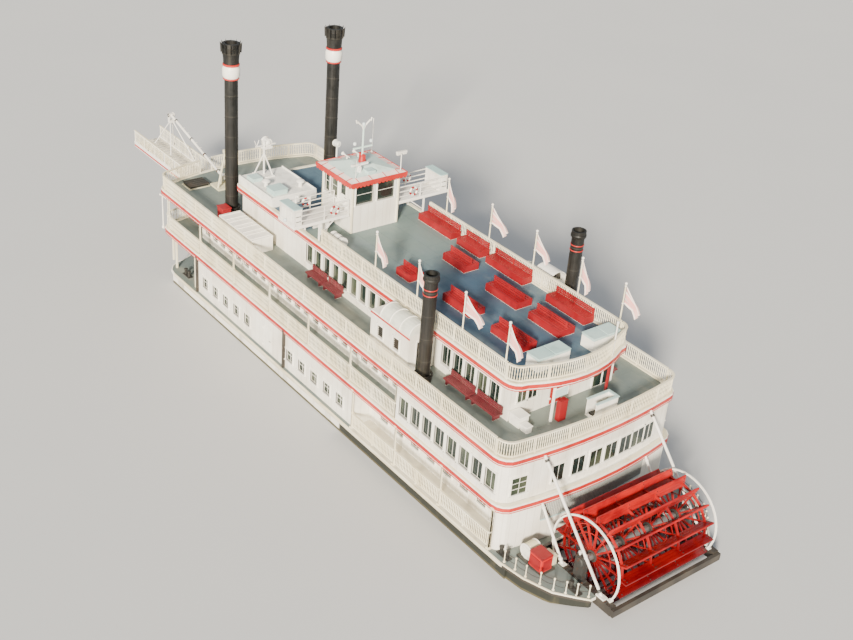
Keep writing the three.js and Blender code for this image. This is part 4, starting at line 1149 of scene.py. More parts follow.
@dataclass
class Windows:
    """Casings, sills and glazing bars of all the cabin windows."""

    finishes: Finishes
    casing: float = 0.085
    proud: float = 0.045
    recess: float = 0.1
    graphs: dict[Muntins, Graph] = field(default_factory=dict)

    def build(self) -> None:
        """Makes each row."""
        for row in self.rows():
            if row.muntins not in self.graphs:
                self.graphs[row.muntins] = self.graph(row.muntins)
            graph = self.graphs[row.muntins]
            grow(f"windows_{row.name}", graph, self.finishes.trim, slot="wall_paint", Count=row.count,
                First=row.first, Step=row.step, Width=row.width, Height=row.height,
                Turn=(0.0, 0.0, math.radians(row.turn)))

    def graph(self, muntins: Muntins) -> Graph:
        """Tree of a row of windows that are divided in one way."""
        graph = Graph(f"Windows {muntins.name.lower()} {self.recess}")
        width, height = graph.size("Width", 0.8), graph.size("Height", 1.3)
        case, deep = self.casing, self.proud + 0.06
        middle = self.proud - deep / 2
        side = graph.plus(graph.times(width, 0.5), case / 2)
        tall = graph.times(height, 0.5)
        full = graph.plus(width, 2 * case)
        bars = [graph.bar((case, deep, height), (side, middle, 0.0)),
            graph.bar((case, deep, height), (graph.times(side, -1.0), middle, 0.0)),
            graph.bar((graph.plus(full, 0.04), deep + 0.02, case),
            (0.0, middle + 0.01, graph.plus(tall, case / 2))),
            graph.bar((graph.plus(full, 0.1), deep + 0.06, 0.06),
            (0.0, middle + 0.03, graph.less(-0.03, tall)))]
        uprights, levels = muntins.value
        if uprights:
            bars.append(graph.bar((0.018, 0.02, height), (0.0, -self.recess, 0.0)))
        for i in range(levels):
            share = (i + 1) / (levels + 1) - 0.5
            bars.append(graph.bar((width, 0.024, 0.022), (0.0, -self.recess, graph.times(height, share))))
        return graph.lined(graph.join(bars), self.finishes.trim)

    def rows(self) -> list[WindowRow]:
        """Every row, from the same openings that the walls have."""
        spans = (
            ("main_a", 13.6, 7.6, 5, 0.8, 1.95, 2.8, 6.72, Muntins.PAIR),
            ("main_b", 2.0, -4.0, 5, 0.8, 1.95, 2.8, 6.72, Muntins.PAIR),
            ("main_c", -7.0, -18.2, 8, 0.8, 1.95, 2.8, 5.3, Muntins.PAIR),
            ("second_a", 15.9, -8.9, 23, 0.72, 4.95, 6.25, 5.2, Muntins.SASH),
            ("second_b", -10.55, -18.5, 8, 0.9, 4.95, 6.25, 6.71, Muntins.SPLIT),
            ("third_a", 3.9, -5.4, 10, 0.8, 7.9, 9.25, 4.12, Muntins.PLAIN),
            ("third_b", -10.9, -15.3, 5, 0.88, 7.9, 9.25, 4.12, Muntins.SPLIT),
        )
        rows = []
        for name, start, stop, count, width, sill, head, half, muntins in spans:
            for side in Side:
                first = (start, side.value * half, (sill + head) / 2)
                step = ((stop - start) / (count - 1), 0.0, 0.0)
                turn = 0.0 if side is Side.PORT else 180.0
                rows.append(WindowRow(f"{name}_{side.tag}", first, step, count, width, head - sill, turn,
                    muntins))
        ends = (
            ("second_fore", 16.8, (-3.9, -2.0, 2.0, 3.9), 0.8, 4.95, 6.25, -90.0, Muntins.SASH),
            ("third_fore", 12.7, (-3.0, -1.2, 1.2, 3.0), 0.8, 7.9, 9.25, -90.0, Muntins.SASH),
        )
        for name, x, places, width, sill, head, turn, muntins in ends:
            for i, y in enumerate(places):
                rows.append(WindowRow(f"{name}_{i}", (x, y, (sill + head) / 2), TO_PORT, 1, width,
                    head - sill, turn, muntins))
        return rows


@dataclass
class AftWindows(Windows):
    """The aft windows, whose sashes are planted on the wall's face."""

    recess: float = -0.035
    pane: float = 0.025
    spread: float = 0.08

    def build(self) -> None:
        """Makes the casings and the panes."""
        super().build()
        graph = Graph("Planted pane")
        width, height = graph.size("Width", 0.8), graph.size("Height", 1.3)
        graph.lined(graph.bar((width, 0.04, height), (0.0, self.pane - 0.02, 0.0)), self.finishes.glass)
        for row in self.rows():
            grow(f"pane_{row.name}", graph, self.finishes.glass, slot="window_glass", First=row.first,
                Width=row.width, Height=row.height, Turn=(0.0, 0.0, math.radians(row.turn)))

    def rows(self) -> list[WindowRow]:
        """The second deck's row along its bowed wall, and two on the third deck."""
        rows = []
        inset, straight = 0.1, THIRD.half - THIRD.aft_corner
        aft = ((6.0, 5.1), (3.25, 2.55), (1.83, 1.03), (0.51, -0.32), (-0.7, -1.55), (-1.93, -2.79),
            (-2.97, -3.94), (-4.12, -4.86))
        for i, (y0, y1) in enumerate(aft):
            middle = (y0 + y1) / 2
            share = min(middle / straight, 1.0)
            x = THIRD.aft + inset - THIRD.aft_bow * (1 - share * share)
            lean = math.degrees(math.atan(2 * THIRD.aft_bow * share / straight))
            rows.append(WindowRow(f"second_aft_{i}", (x, middle, 5.43), TO_PORT, 1, y0 - y1 + self.spread,
                1.16, 90.0 - lean, Muntins.SIX if i == 0 else Muntins.SPLIT))
        for i, (y0, y1) in enumerate(((3.5, 2.95), (2.7, 2.15))):
            rows.append(WindowRow(f"third_aft_{i}", (-16.6, (y0 + y1) / 2, 8.8), TO_PORT, 1,
                y0 - y1 + self.spread, 0.8, 90.0, Muntins.SPLIT))
        return rows


@dataclass(frozen=True)
class Block:
    """A box between two values on each axis."""

    x0: float
    x1: float
    y0: float
    y1: float
    z0: float
    z1: float

    def add(self, shape: Shape, side: int) -> None:
        """Adds it to a shape, on one side of the boat."""
        shape.box((self.x0, self.x1), (side * self.y0, side * self.y1), (self.z0, self.z1))


@dataclass(frozen=True)
class Bar:
    """A round bar along a path."""

    path: tuple[Point, ...]
    radius: float
    sides: int = 8
    closed: bool = False

    def add(self, shape: Shape, side: int) -> None:
        """Adds it to a shape, on one side of the boat."""
        shape.tube([(x, side * y, z) for x, y, z in self.path], self.radius, self.sides, self.closed)


@dataclass(frozen=True)
class Spun:
    """A solid turned about an axis, by radius and distance along it."""

    foot: Point
    profile: tuple[Flat, ...]
    axis: Point = UP
    sides: int = 20
    closed: bool = False

    def add(self, shape: Shape, side: int) -> None:
        """Adds it to a shape, on one side of the boat."""
        x, y, z = self.foot
        ax, ay, az = self.axis
        shape.turned((x, side * y, z), (ax, side * ay, az), self.profile, self.sides, self.closed)


SLOTS = {"steel": "white_steel", "iron": "bearing_iron"}


@dataclass(frozen=True)
class Fitting:
    """A small piece made of a few forms of one finish."""

    name: str
    finish: str
    forms: tuple[Block | Bar | Spun, ...]
    both: bool = False
    body: str = "boat"
    slot: str = ""
    bevel: float = 0.012

    def build(self, finishes: Finishes) -> None:
        """Makes the piece, and its twin if it has one."""
        for side in (Side if self.both else (Side.PORT,)):
            shape = Shape()
            for form in self.forms:
                form.add(shape, side.value)
            name = f"{self.name}_{side.tag}" if self.both else self.name
            body = self.body.format(side=side.tag)
            slot = self.slot or SLOTS.get(self.finish, "")
            shape.piece(name, getattr(finishes, self.finish), body, slot, self.bevel, 40.0)


@dataclass(frozen=True)
class Pair(Fitting):
    """A fitting with a twin on the other side."""

    both: bool = True


def ring(radius: float, z0: float, z1: float, swell: float) -> tuple[Flat, ...]:
    """Closed profile of a band round a stack, swelling out at its middle."""
    wall, step = 0.08, (z1 - z0) * 0.2
    return ((radius - wall, z0), (radius, z0), (radius + swell, z0 + step), (radius + swell, z1 - step),
        (radius, z1), (radius - wall, z1))


@dataclass
class Stacks:
    """Bands, rivets, petalled crowns and foot collars of the four stacks."""

    finishes: Finishes

    def build(self) -> None:
        """Dresses both pairs."""
        crown, rivets = self.crown(), self.rivets()
        for side in Side:
            tall, short = (14.14, side.value * 4.2, 0.0), (-10.79, side.value * 5.66, 0.0)
            self.band(f"tall_band_{side.tag}", self.finishes.trim, tall, ((0.53, 17.55, 18.37, 0.08),))
            self.band(f"tall_edges_{side.tag}", self.finishes.red, tall,
                ((0.54, 17.44, 17.53, 0.02), (0.56, 18.39, 18.54, 0.03)))
            Shape().turned(tall, UP, self.sleeve(), 32, True).piece(f"tall_sleeve_{side.tag}",
                self.finishes.stack, slot="stack_paint", smooth=50.0)
            self.band(f"tall_collars_{side.tag}", self.finishes.stack, tall,
                ((0.62, 7.76, 7.9, 0.02), (0.6, 19.2, 19.3, 0.02)))
            self.band(f"short_rings_{side.tag}", self.finishes.red, short,
                ((0.42, 13.1, 13.16, 0.01), (0.42, 13.46, 13.52, 0.01)))
            self.band(f"short_collars_{side.tag}", self.finishes.stack, short,
                ((0.55, 7.74, 7.88, 0.02), (0.47, 14.0, 14.2, 0.02)))
            grow(f"tall_crown_{side.tag}", crown, self.finishes.stack, slot="stack_paint", smooth=50.0,
                Centre=(14.14, side.value * 4.2, 19.32), Radius=0.58, Tall=0.72)
            grow(f"tall_rivets_{side.tag}", rivets, self.finishes.stack, slot="stack_paint", Radius=0.475,
                First=(14.14, side.value * 4.2, 8.6), Count=7, Step=(0.0, 0.0, 1.5))
            grow(f"short_rivets_{side.tag}", rivets, self.finishes.stack, slot="stack_paint", Radius=0.405,
                First=(-10.79, side.value * 5.66, 8.6), Count=4, Step=(0.0, 0.0, 1.4))

    @staticmethod
    def sleeve() -> list[Flat]:
        """Closed profile of the flared sleeve between the white band and the crown."""
        outer = [(0.54 + 0.1 * (k / 8) ** 1.6, 18.56 + 1.1 * k / 8) for k in range(9)]
        return outer + [(radius - 0.05, height) for radius, height in reversed(outer)]

    def band(self, name: str, finish: Material, foot: Point,
            bands: Sequence[tuple[float, float, float, float]]) -> None:
        """Rings round a stack, by radius, foot, top and swelling."""
        shape = Shape()
        for radius, low, high, swell in bands:
            shape.turned(foot, UP, ring(radius, low, high, swell), 32, True)
        shape.piece(name, finish, smooth=40.0)

    def crown(self) -> Graph:
        """Tree of leaning petals round the mouth."""
        graph = Graph("Crown")
        centre = graph.size("Centre")
        radius = graph.size("Radius", 0.5)
        tall = graph.size("Tall", 0.6)
        inputs = {"Start": ORIGIN, "Middle": graph.vector(0.02, 0.0, graph.times(tall, 0.55)),
            "End": graph.vector(0.17, 0.0, tall), "Resolution": 6}
        path = graph.add("CurveQuadraticBezier", inputs).outputs[0]
        share = graph.add("SplineParameter", {}).outputs["Factor"]
        wide = graph.less(1.02, graph.math("POWER", share, 2.2))
        blade = graph.add("CurvePrimitiveCircle", {"Resolution": 8, "Radius": 0.13}).outputs[0]
        blade = graph.add("Transform", {"Geometry": blade, "Scale": (0.25, 1.0, 1.0)}).outputs[0]
        inputs = {"Curve": path, "Profile Curve": blade, "Fill Caps": True, "Scale": wide}
        petal = graph.add("CurveToMesh", inputs).outputs[0]
        spin = graph.vector(0.0, 0.0, graph.times(graph.index(), math.pi / 6))
        placed = graph.move(petal, graph.vector(radius, 0.0, 0.0))
        points = graph.row(12, centre, ORIGIN)
        return graph.close(graph.repeat(points, placed, spin), self.finishes.stack)

    def rivets(self) -> Graph:
        """Tree of rows of rivet heads round a plate seam."""
        graph = Graph("Rivets")
        radius = graph.size("Radius", 0.5)
        head = graph.add("MeshUVSphere", {"Segments": 6, "Rings": 3, "Radius": 0.022}).outputs[0]
        circle = graph.add("MeshCircle", {"Vertices": 18, "Radius": radius}).outputs[0]
        return graph.lined(graph.repeat(circle, head), self.finishes.stack)


@dataclass
class Wheel:
    """Planks, straps, bolts and tie rings of the paddle wheel."""

    finishes: Finishes
    centre: Point = (-23.7, 0.0, 2.4)
    radius: float = 2.75
    count: int = 16
    spiders: tuple[float, ...] = (-3.3, -1.1, 1.1, 3.3)

    def build(self) -> None:
        """Makes the repeated parts and the rings."""
        grow("wheel_planks", self.planks(), self.finishes.wheel, "wheel", "wheel_red")
        grow("wheel_straps", self.straps(), self.finishes.wheel, "wheel", "wheel_red")
        grow("wheel_bolts", self.bolts(), self.finishes.iron, "wheel", "bearing_iron")
        hoops, flanges = Shape(), Shape()
        x, _, z = self.centre
        for y in self.spiders:
            for radius in (1.35, 1.85):
                hoops.tube([(x + radius * math.cos(t), y, z + radius * math.sin(t)) for t in self.turns()],
                    0.035, 6, True)
            for face in (-1, 1):
                flanges.turned((x, y, z), (0.0, face, 0.0), ((0.23, 0.05), (0.36, 0.05), (0.36, 0.09),
                    (0.26, 0.12), (0.23, 0.12)), 32, True)
        hoops.piece("wheel_tie_rings", self.finishes.wheel, "wheel", "wheel_red", smooth=60.0)
        flanges.piece("wheel_flanges", self.finishes.iron, "wheel", "bearing_iron", smooth=30.0)

    def turns(self) -> list[float]:
        """Angles of 48 points round the wheel."""
        return [2 * math.pi * i / 48 for i in range(48)]

    def radial(self, graph: Graph, form: Socket, finish: Material) -> Graph:
        """Ends a tree in the form at each paddle."""
        spin = graph.vector(0.0, graph.times(graph.index(), 2 * math.pi / self.count), 0.0)
        return graph.close(graph.repeat(graph.row(self.count, self.centre, ORIGIN), form, spin), finish)

    def planks(self) -> Graph:
        """Tree of the boards on both faces of the paddles."""
        graph = Graph("Planks")
        boards = [graph.bar((0.205, 6.96, 0.022), (self.radius - 0.125 - 0.225 * i, 0.0, face * 0.046))
            for i in range(3) for face in (-1, 1)]
        return self.radial(graph, graph.join(boards), self.finishes.wheel)

    def straps(self) -> Graph:
        """Tree of the irons that hold the boards to the arms."""
        graph = Graph("Straps")
        irons = [graph.bar((0.9, 0.13, 0.02), (self.radius - 0.52, y, face * 0.066)) for y in self.spiders
            for face in (-1, 1)]
        return self.radial(graph, graph.join(irons), self.finishes.wheel)

    def bolts(self) -> Graph:
        """Tree of the bolt heads on the straps."""
        graph = Graph("Bolts")
        head = graph.add("MeshCylinder", {"Vertices": 6, "Radius": 0.035, "Depth": 0.03}).outputs[0]
        rows = [graph.repeat(graph.row(4, (self.radius - 0.12, y, face * 0.08), (-0.225, 0.0, 0.0)), head)
                for y in self.spiders for face in (-1, 1)]
        return self.radial(graph, graph.join(rows), self.finishes.iron)


# Masthead, horns and aerials on the roof.
PILOT_GEAR: tuple[Fitting, ...] = (
    Fitting("masthead", "steel", (*(Bar(((4.2, 0, 16.5), (4.2, s * 0.1, 16.8), (4.2, s * 0.5, 17.15)), 0.06)
        for s in (-1, 1)), *(Bar(((4.2, s * 0.55, 17.05), (4.2, s * 0.62, 17.3)), 0.05) for s in (-1, 1)))),
    Fitting("mast_lamps", "lamp",
        tuple(Spun((4.2, y, z), ((0, 0), (0.1, 0.02), (0.12, 0.1), (0.1, 0.2), (0, 0.24)), sides=12)
        for y, z in ((-0.65, 15.55), (0.65, 15.55), (0, 16.82)))),
    Fitting("mast_step", "red",
        (Spun((4.2, 0, 14.2), ((0.26, 0), (0.26, 0.22), (0.12, 0.5), (0.08, 0.55)), sides=16),
        Block(3.9, 4.5, -0.06, 0.06, 14.25, 14.85)), slot="door_red"),
    Fitting("horns", "steel",
        tuple(Spun((5.3, y, 14.35), ((0.03, -0.3), (0.035, 0.1), (0.06, 0.35), (0.14, 0.5), (0.1, 0.5),
        (0.02, 0.2)), AHEAD, 14) for y in (-0.45, 0.45))),
    Fitting("horn_feet", "steel", (Block(5.2, 5.4, -0.55, 0.55, 14.02, 14.1),
        *(Block(5.26, 5.34, y - 0.04, y + 0.04, 14.05, 14.33) for y in (-0.45, 0.45)))),
    Fitting("whip_aerials", "steel", (Bar(((5.9, -2, 13.9), (5.9, -2.02, 16.4)), 0.025, 6),
        Bar(((2.6, 1.6, 13.9), (2.55, 1.62, 15.3)), 0.02, 6),
        Spun((5.9, -2, 13.88), ((0.08, 0), (0.08, 0.12), (0.04, 0.2)), sides=12))),
    Fitting("lamp_pole", "steel", (Bar(((2.5, -1.95, 13.9), (2.5, -1.95, 15.2)), 0.04),
        Block(2.4, 2.6, -2.35, -1.55, 15.18, 15.3), Block(2.42, 2.58, -2.33, -2.05, 15.06, 15.18),
        Block(2.42, 2.58, -1.85, -1.57, 15.06, 15.18))),
    Fitting("radar", "steel",
        (Spun((3.2, 0.9, 14.1), ((0.16, 0), (0.16, 0.35), (0.1, 0.42), (0.1, 0.5)), sides=16),
        Block(3.12, 3.28, 0.25, 1.55, 14.58, 14.72))),
    Fitting("roof_seams", "red",
        (*(Bar(((x, y, 13.915), (x + s * 0.47, y, 14.035)), 0.022, 6) for x, s in ((2.17, 1), (6.23, -1))
        for y in (-1.6, -0.55, 0.55, 1.6)), *(Bar(((x, s * 2.2, 13.915), (x, s * 1.75, 14.015)), 0.022, 6)
        for x in (2.75, 3.75, 4.75, 5.65) for s in (-1, 1))), bevel=0),
    Fitting("roof_hatch", "teal", (Block(2.7, 3.3, -0.1, 0.55, 14.02, 14.24),), bevel=0.03),
    Fitting("pilot_corners", "rail", tuple(Block(x - 0.06, x + 0.06, y - 0.06, y + 0.06, 10.16, 13.68)
        for x, y in ((2.48, 1.85), (2.48, -1.85), (5.92, 1.85), (5.92, -1.85))), slot="rail_paint"),
)


@dataclass
class PilotHouse:
    """Valance, window casings, mullions, mast head and lamps of the pilot house."""

    finishes: Finishes
    windows: Windows
    gear: tuple[Fitting, ...] = PILOT_GEAR

    def build(self) -> None:
        """Makes each part."""
        self.openings()
        self.valance()
        for fitting in self.gear:
            fitting.build(self.finishes)

    def openings(self) -> None:
        """Casings round the lights."""
        graph = self.windows.graph(Muntins.SASH)
        rows = [(f"pilot_{tag}_{i}", (x, y, 12.775), 1.44, turn) for tag, x, turn in (
            ("fore", 5.9, -90.0), ("aft", 2.5, 90.0)) for i, y in enumerate((-0.86, 0.86))]
        for side in Side:
            turn = 0.0 if side is Side.PORT else 180.0
            rows.append((f"pilot_mid_{side.tag}", (4.55, side.value * 1.87, 12.775), 0.8, turn))
            rows.append((f"pilot_fwd_{side.tag}", (5.41, side.value * 1.87, 12.775), 0.62, turn))
        for name, place, width, turn in rows:
            grow(f"casing_{name}", graph, self.finishes.trim, slot="wall_paint", Count=1, First=place,
                Width=width, Height=1.35, Turn=(0.0, 0.0, math.radians(turn)))

    def valance(self) -> None:
        """Red board round the roof's edge, with a row of red and white scallops under it."""
        x0, x1, y0, y1 = 2.15, 6.25, -2.22, 2.22
        out = [(x0 - 0.05, y0 - 0.05), (x1 + 0.05, y0 - 0.05), (x1 + 0.05, y1 + 0.05), (x0 - 0.05, y1 + 0.05)]
        near = [(x0 - 0.002, y0 - 0.002), (x1 + 0.002, y0 - 0.002), (x1 + 0.002, y1 + 0.002),
            (x0 - 0.002, y1 + 0.002)]
        Shape().ribbon(out, near, (13.69, 13.93), True).piece("pilot_fascia", self.finishes.red,
            slot="door_red", bevel=0.015)
        graph = Graph("Scallops")
        disc = graph.add("MeshCylinder", {"Vertices": 14, "Radius": 0.148, "Depth": 0.03}).outputs[0]
        graph.lined(graph.move(disc, None, (math.radians(90), 0.0, 0.0)), self.finishes.red)
        across, along = (y1 - y0) / 15, (x1 - x0) / 14
        rows = (
            ("aft", 15, (x0 - 0.025, y0 + across / 2, 13.69), (0.0, across, 0.0), 90.0),
            ("fore", 15, (x1 + 0.025, y0 + across / 2, 13.69), (0.0, across, 0.0), 90.0),
            ("port", 14, (x0 + along / 2, y1 + 0.025, 13.69), (along, 0.0, 0.0), 0.0),
            ("stbd", 14, (x0 + along / 2, y0 - 0.025, 13.69), (along, 0.0, 0.0), 0.0),
        )
        for name, number, start, gap, angle in rows:
            grow(f"pilot_scallops_{name}", graph, self.finishes.red, slot="door_red", smooth=40.0,
                Count=number, First=start, Step=gap, Turn=(0.0, 0.0, math.radians(angle)))


@dataclass
class Seats:
    """Red slatted benches: back to back on the top deck, and along the cabin on the third deck, these in a
    darker red that is painted shade.
    """

    finishes: Finishes
    top: tuple[tuple[float, float, float, float], ...] = (
        (0.3, -3.9, 3.6, 0.85), (-3.3, -3.9, 2.4, 0.85), (-6.9, -3.9, 3.6, 0.85), (-12.6, -3.9, 3.4, 0.85),
        (-4.5, -1.9, 2.2, 1.2), (-9.4, -1.75, 2.9, 1.3), (-13.3, -1.75, 2.7, 1.3), (-4.2, 1.95, 1.4, 1.1),
        (-8.9, 1.4, 2.6, 1.2), (-13.4, 1.3, 2.7, 1.2))

    def build(self) -> None:
        """Makes the slats, backs and legs of every bench."""
        # The third deck's benches take the darker dusty paint, whose darkness is painted shade.
        graph, dusty = self.graph(self.finishes.bench), self.graph(self.finishes.dusty)
        for i, (x, y, length, breadth) in enumerate(self.top):
            middle = 0.0 if breadth > 1.0 else -breadth / 2 + 0.06
            grow(f"top_bench_{i}", graph, self.finishes.bench, Centre=(x, y, TOP_Z + 0.46), Length=length,
                Breadth=breadth, Back=middle)
        for side in Side:
            turn = -1.0 if side is Side.PORT else 1.0
            for i, (x0, x1) in enumerate(((3.3, -0.5), (-11.6, -16.4))):
                count = 2
                length = (x0 - x1) / count - 0.15
                for j in range(count):
                    x = x0 - (j + 0.5) * (x0 - x1) / count
                    y = side.value * 4.55
                    grow(f"third_bench_{side.tag}_{i}{j}", dusty, self.finishes.dusty,
                        Centre=(x, y, THIRD_Z + 0.4), Length=length, Breadth=0.62, Back=0.26 * turn)

    @staticmethod
    def graph(finish: Material) -> Graph:
        """Tree of a slatted seat with a slatted back."""
        graph = Graph("Bench")
        centre = graph.size("Centre")
        length = graph.size("Length", 3.0)
        breadth = graph.size("Breadth", 0.9)
        back = graph.size("Back", 0.0)
        gap = graph.math("DIVIDE", graph.less(breadth, 0.02), 6.0)
        slat = graph.bar((length, graph.times(gap, 0.72), 0.035), (0.0, 0.0, 0.02))
        start = graph.vector(0.0, graph.times(gap, -2.5), 0.0)
        seat = graph.repeat(graph.row(6, start, graph.vector(0.0, gap, 0.0)), slat)
        rung = graph.bar((length, 0.035, 0.085), (0.0, back, 0.14))
        backs = graph.repeat(graph.row(3, ORIGIN, (0.0, 0.0, 0.13)), rung)
        posts = graph.bar((0.06, 0.05, 0.44), (0.0, back, 0.24))
        reach = graph.less(graph.times(length, 0.5), 0.12)
        first = graph.vector(graph.times(reach, -1.0), 0.0, 0.0)
        stands = graph.repeat(graph.row(3, first, graph.vector(reach, 0.0, 0.0)), posts)
        return graph.close(graph.move(graph.join((seat, backs, stands)), centre), finish)


@dataclass
class Flags:
    """Limp flags that hang from the poles, each of its own fall."""

    finishes: Finishes
    fly: float = 1.8
    hoist: float = 1.15
    columns: int = 26
    rows: int = 18

    def build(self) -> None:
        """Hangs a flag from each pole."""
        poles = [(x, 4.405) for x in (-3.85, -8.1, -12.4, -16.2)]
        poles += [(x, -4.405) for x in (0.3, -4.2, -8.5, -12.6, -16.2)]
        for i, (x, y) in enumerate(poles):
            rig = Shape()
            rig.ball((x, y, 13.66), 0.09, 12)
            for z in (13.5, 13.5 - self.hoist):
                rig.turned((x, y, z - 0.03), UP, ((0.05, 0.0), (0.075, 0.01), (0.075, 0.05), (0.05, 0.06)),
                    10, True)
            rig.piece(f"flag_rings_{i}", self.finishes.steel, slot="white_steel", smooth=40.0)
            self.hang(f"flag_{i}", (x - 0.075, y, 13.5), 0.3 * math.sin(2.1 * i),
                62.0 + 7.0 * math.cos(1.7 * i))

    def gather(self, share: float) -> float:
        """Depth of the folds that lets the cloth narrow to a share of its breadth and keep its length."""
        low, high = 0.0, 1.0
        for _ in range(24):
            depth = (low + high) / 2
            steps = 60
            length = sum(
                math.hypot(share / steps,
                depth * (math.sin(4 * math.pi * (k + 1) / steps) - math.sin(4 * math.pi * k / steps)))
                for k in range(steps))
            low, high = (depth, high) if length < 1.0 else (low, depth)
        return (low + high) / 2

    def hang(self, name: str, top: Point, drift: float, droop: float) -> None:
        """One flag: its fly sinks by the droop's angle and its lower corner gathers in folds.

        Args:
            name: The piece's name.
            top: The upper corner at the pole.
            drift: How far the wind sets it to port.
            droop: Angle of the fall in degrees.
        """
        shape = bmesh.new()
        uv = shape.loops.layers.uv.new("UVMap")
        grid = []
        x, z = 0.0, 0.0
        for i in range(self.columns + 1):
            u = i / self.columns
            angle = math.radians(droop * (0.55 + 0.6 * u))
            if i:
                x -= math.cos(angle) * self.fly / self.columns
                z -= math.sin(angle) * self.fly / self.columns
            share = 1.0 - 0.5 * min(u * 1.6, 1.0)
            depth = self.gather(share) if i else 0.0
            lean = min(u * 1.3, 1.0)
            way = Vector((math.sin(angle) * lean * 0.55, 0.0, -1.0)).normalized()
            column = []
            for j in range(self.rows + 1):
                v = j / self.rows
                fold = depth * math.sin(4 * math.pi * v + 1.3 * u) - depth * math.sin(1.3 * u)
                wave = drift * u + 0.06 * math.sin(5.0 * u + drift)
                point = Vector(top) + Vector((x, wave + self.hoist * fold, z)) + way * (
                    self.hoist * v * share)
                column.append(shape.verts.new(TO_MODEL @ point))
            grid.append(column)
        for i in range(self.columns):
            for j in range(self.rows):
                face = shape.faces.new((grid[i][j], grid[i][j + 1], grid[i + 1][j + 1], grid[i + 1][j]))
                spots = ((i, j), (i, j + 1), (i + 1, j + 1), (i + 1, j))
                for loop, (a, b) in zip(face.loops, spots):
                    loop[uv].uv = (a / self.columns, b / self.rows)
        data = bpy.data.meshes.new(name)
        shape.to_mesh(data)
        shape.free()
        piece = dress(bpy.data.objects.new(name, data), self.finishes.flag, "boat", smooth=80.0)
        cloth = piece.modifiers.new("Cloth", "SOLIDIFY")
        cloth.thickness = 0.002


def uprights(finish: Material) -> Graph:
    """Tree of plain upright boards along a line.

    Args:
        finish: Their material.

    Returns:
        The tree, with inputs for spacing, size and lift.
    """
    graph = Graph("Uprights")
    spacing = graph.size("Spacing", 0.2)
    size = graph.size("Size", (0.03, 0.1, 1.0))
    lift = graph.size("Lift", (0.0, 0.0, 0.5))
    spaced = graph.along(spacing)
    board = graph.add("MeshCube", {"Size": size}).outputs[0]
    return graph.close(graph.repeat(spaced, graph.move(board, lift)), finish)


@dataclass
class LandingStage:
    """Planks, side pickets, rollers and tackle of the stage, and the boom's irons."""

    finishes: Finishes
    balustrades: Balustrades
    aft: float = 22.6
    fore: float = 31.3
    top: float = 6.3
    half: float = 1.2

    def build(self) -> None:
        """Makes the repeated parts and the fittings."""
        graph = Graph("Stage planks")
        first = graph.size("First")
        plank = graph.bar((0.205, 2 * self.half - 0.26, 0.035), ORIGIN)
        cleat = graph.bar((0.05, 2 * self.half - 0.5, 0.03), (0.0, 0.0, 0.03))
        row = graph.repeat(graph.row(38, first, (0.228, 0.0, 0.0)), plank)
        cleats = graph.repeat(graph.row(19, first, (0.456, 0.0, 0.0)), cleat)
        graph.close(graph.join((row, cleats)), self.finishes.plank)
        grow("stage_planks", graph, self.finishes.plank, "stage", "white_steel",
            First=(self.aft + 0.14, BOOM_Y, self.top + 0.018))
        pickets = self.balustrades.graph()
        for side in Side:
            y = BOOM_Y + side.value * (self.half - 0.06)
            line = [(self.aft + 0.12, y, self.top - 0.02), (self.fore - 0.12, y, self.top - 0.02)]
            grow(f"stage_pickets_{side.tag}", pickets, self.finishes.rail, "stage", line=polyline(line),
                Spacing=0.24)
        for fitting in self.fittings():
            fitting.build(self.finishes)

    def fittings(self) -> tuple[Fitting, ...]:
        """Handrails, rollers, sheaves and collars."""
        y0, y1 = BOOM_Y - self.half + 0.06, BOOM_Y + self.half - 0.06
        tip = (26.92, BOOM_Y, 10.04)
        return (
            Fitting("stage_handrails", "rail",
                tuple(Block(self.aft - 0.03, self.fore + 0.03, y - 0.06, y + 0.06, 7.352, 7.4)
                for y in (y0, y1)), body="stage"),
            Fitting("stage_rollers", "iron",
                tuple(Spun((x, BOOM_Y - 0.9, 6.06), ((0, 0), (0.1, 0), (0.1, 1.8), (0, 1.8)), TO_PORT, 16)
                for x in (self.aft + 0.14, self.fore - 0.14)), body="stage"),
            Fitting("stage_kickboards", "trim",
                tuple(Block(self.aft, self.fore, y - 0.075, y + 0.075, 6.345, 6.47) for y in (y0, y1)),
                body="stage"),
            Fitting("stage_side_stripes", "red",
                tuple(Block(self.aft + 0.05, self.fore - 0.05, y, y + step, 6.06, 6.2)
                for y, step in ((y0 - 0.072, 0.01), (y1 + 0.062, 0.01))), body="stage"),
            Fitting("fall_eyes", "iron",
                tuple(Spun((x, y - 0.03, 6.4), ((0.05, 0), (0.11, 0), (0.11, 0.06), (0.05, 0.06)), TO_PORT,
                16, True) for x in (24.92, 28.92) for y in (y0, y1)), body="stage"),
            Fitting("hanger_cheeks", "iron",
                tuple(Spun((tip[0], BOOM_Y + s * 0.232, tip[2]),
                ((0.075, 0), (0.16, 0), (0.15, 0.03), (0.075, 0.03)), (0, s, 0), 20, True) for s in (-1, 1)),
                body="stage"),
            Fitting("boom_collars", "iron",
                tuple(Spun((18.6 + 8.32 * t, BOOM_Y, 7.95 + 2.09 * t),
                ((0.1, -0.07), (0.135, -0.05), (0.135, 0.05), (0.1, 0.07)), (8.32, 0, 2.09), 20, True)
                for t in (0.1, 0.35, 0.6, 0.9)), body="boom"),
            Fitting("boom_steps", "steel",
                tuple(Bar(((18.6 + 8.32 * t, BOOM_Y - 0.17, 8.06 + 2.09 * t),
                (18.6 + 8.32 * t, BOOM_Y + 0.17, 8.06 + 2.09 * t)), 0.02, 6)
                for t in (0.2, 0.28, 0.44, 0.52, 0.68, 0.76)), body="boom"),
        )


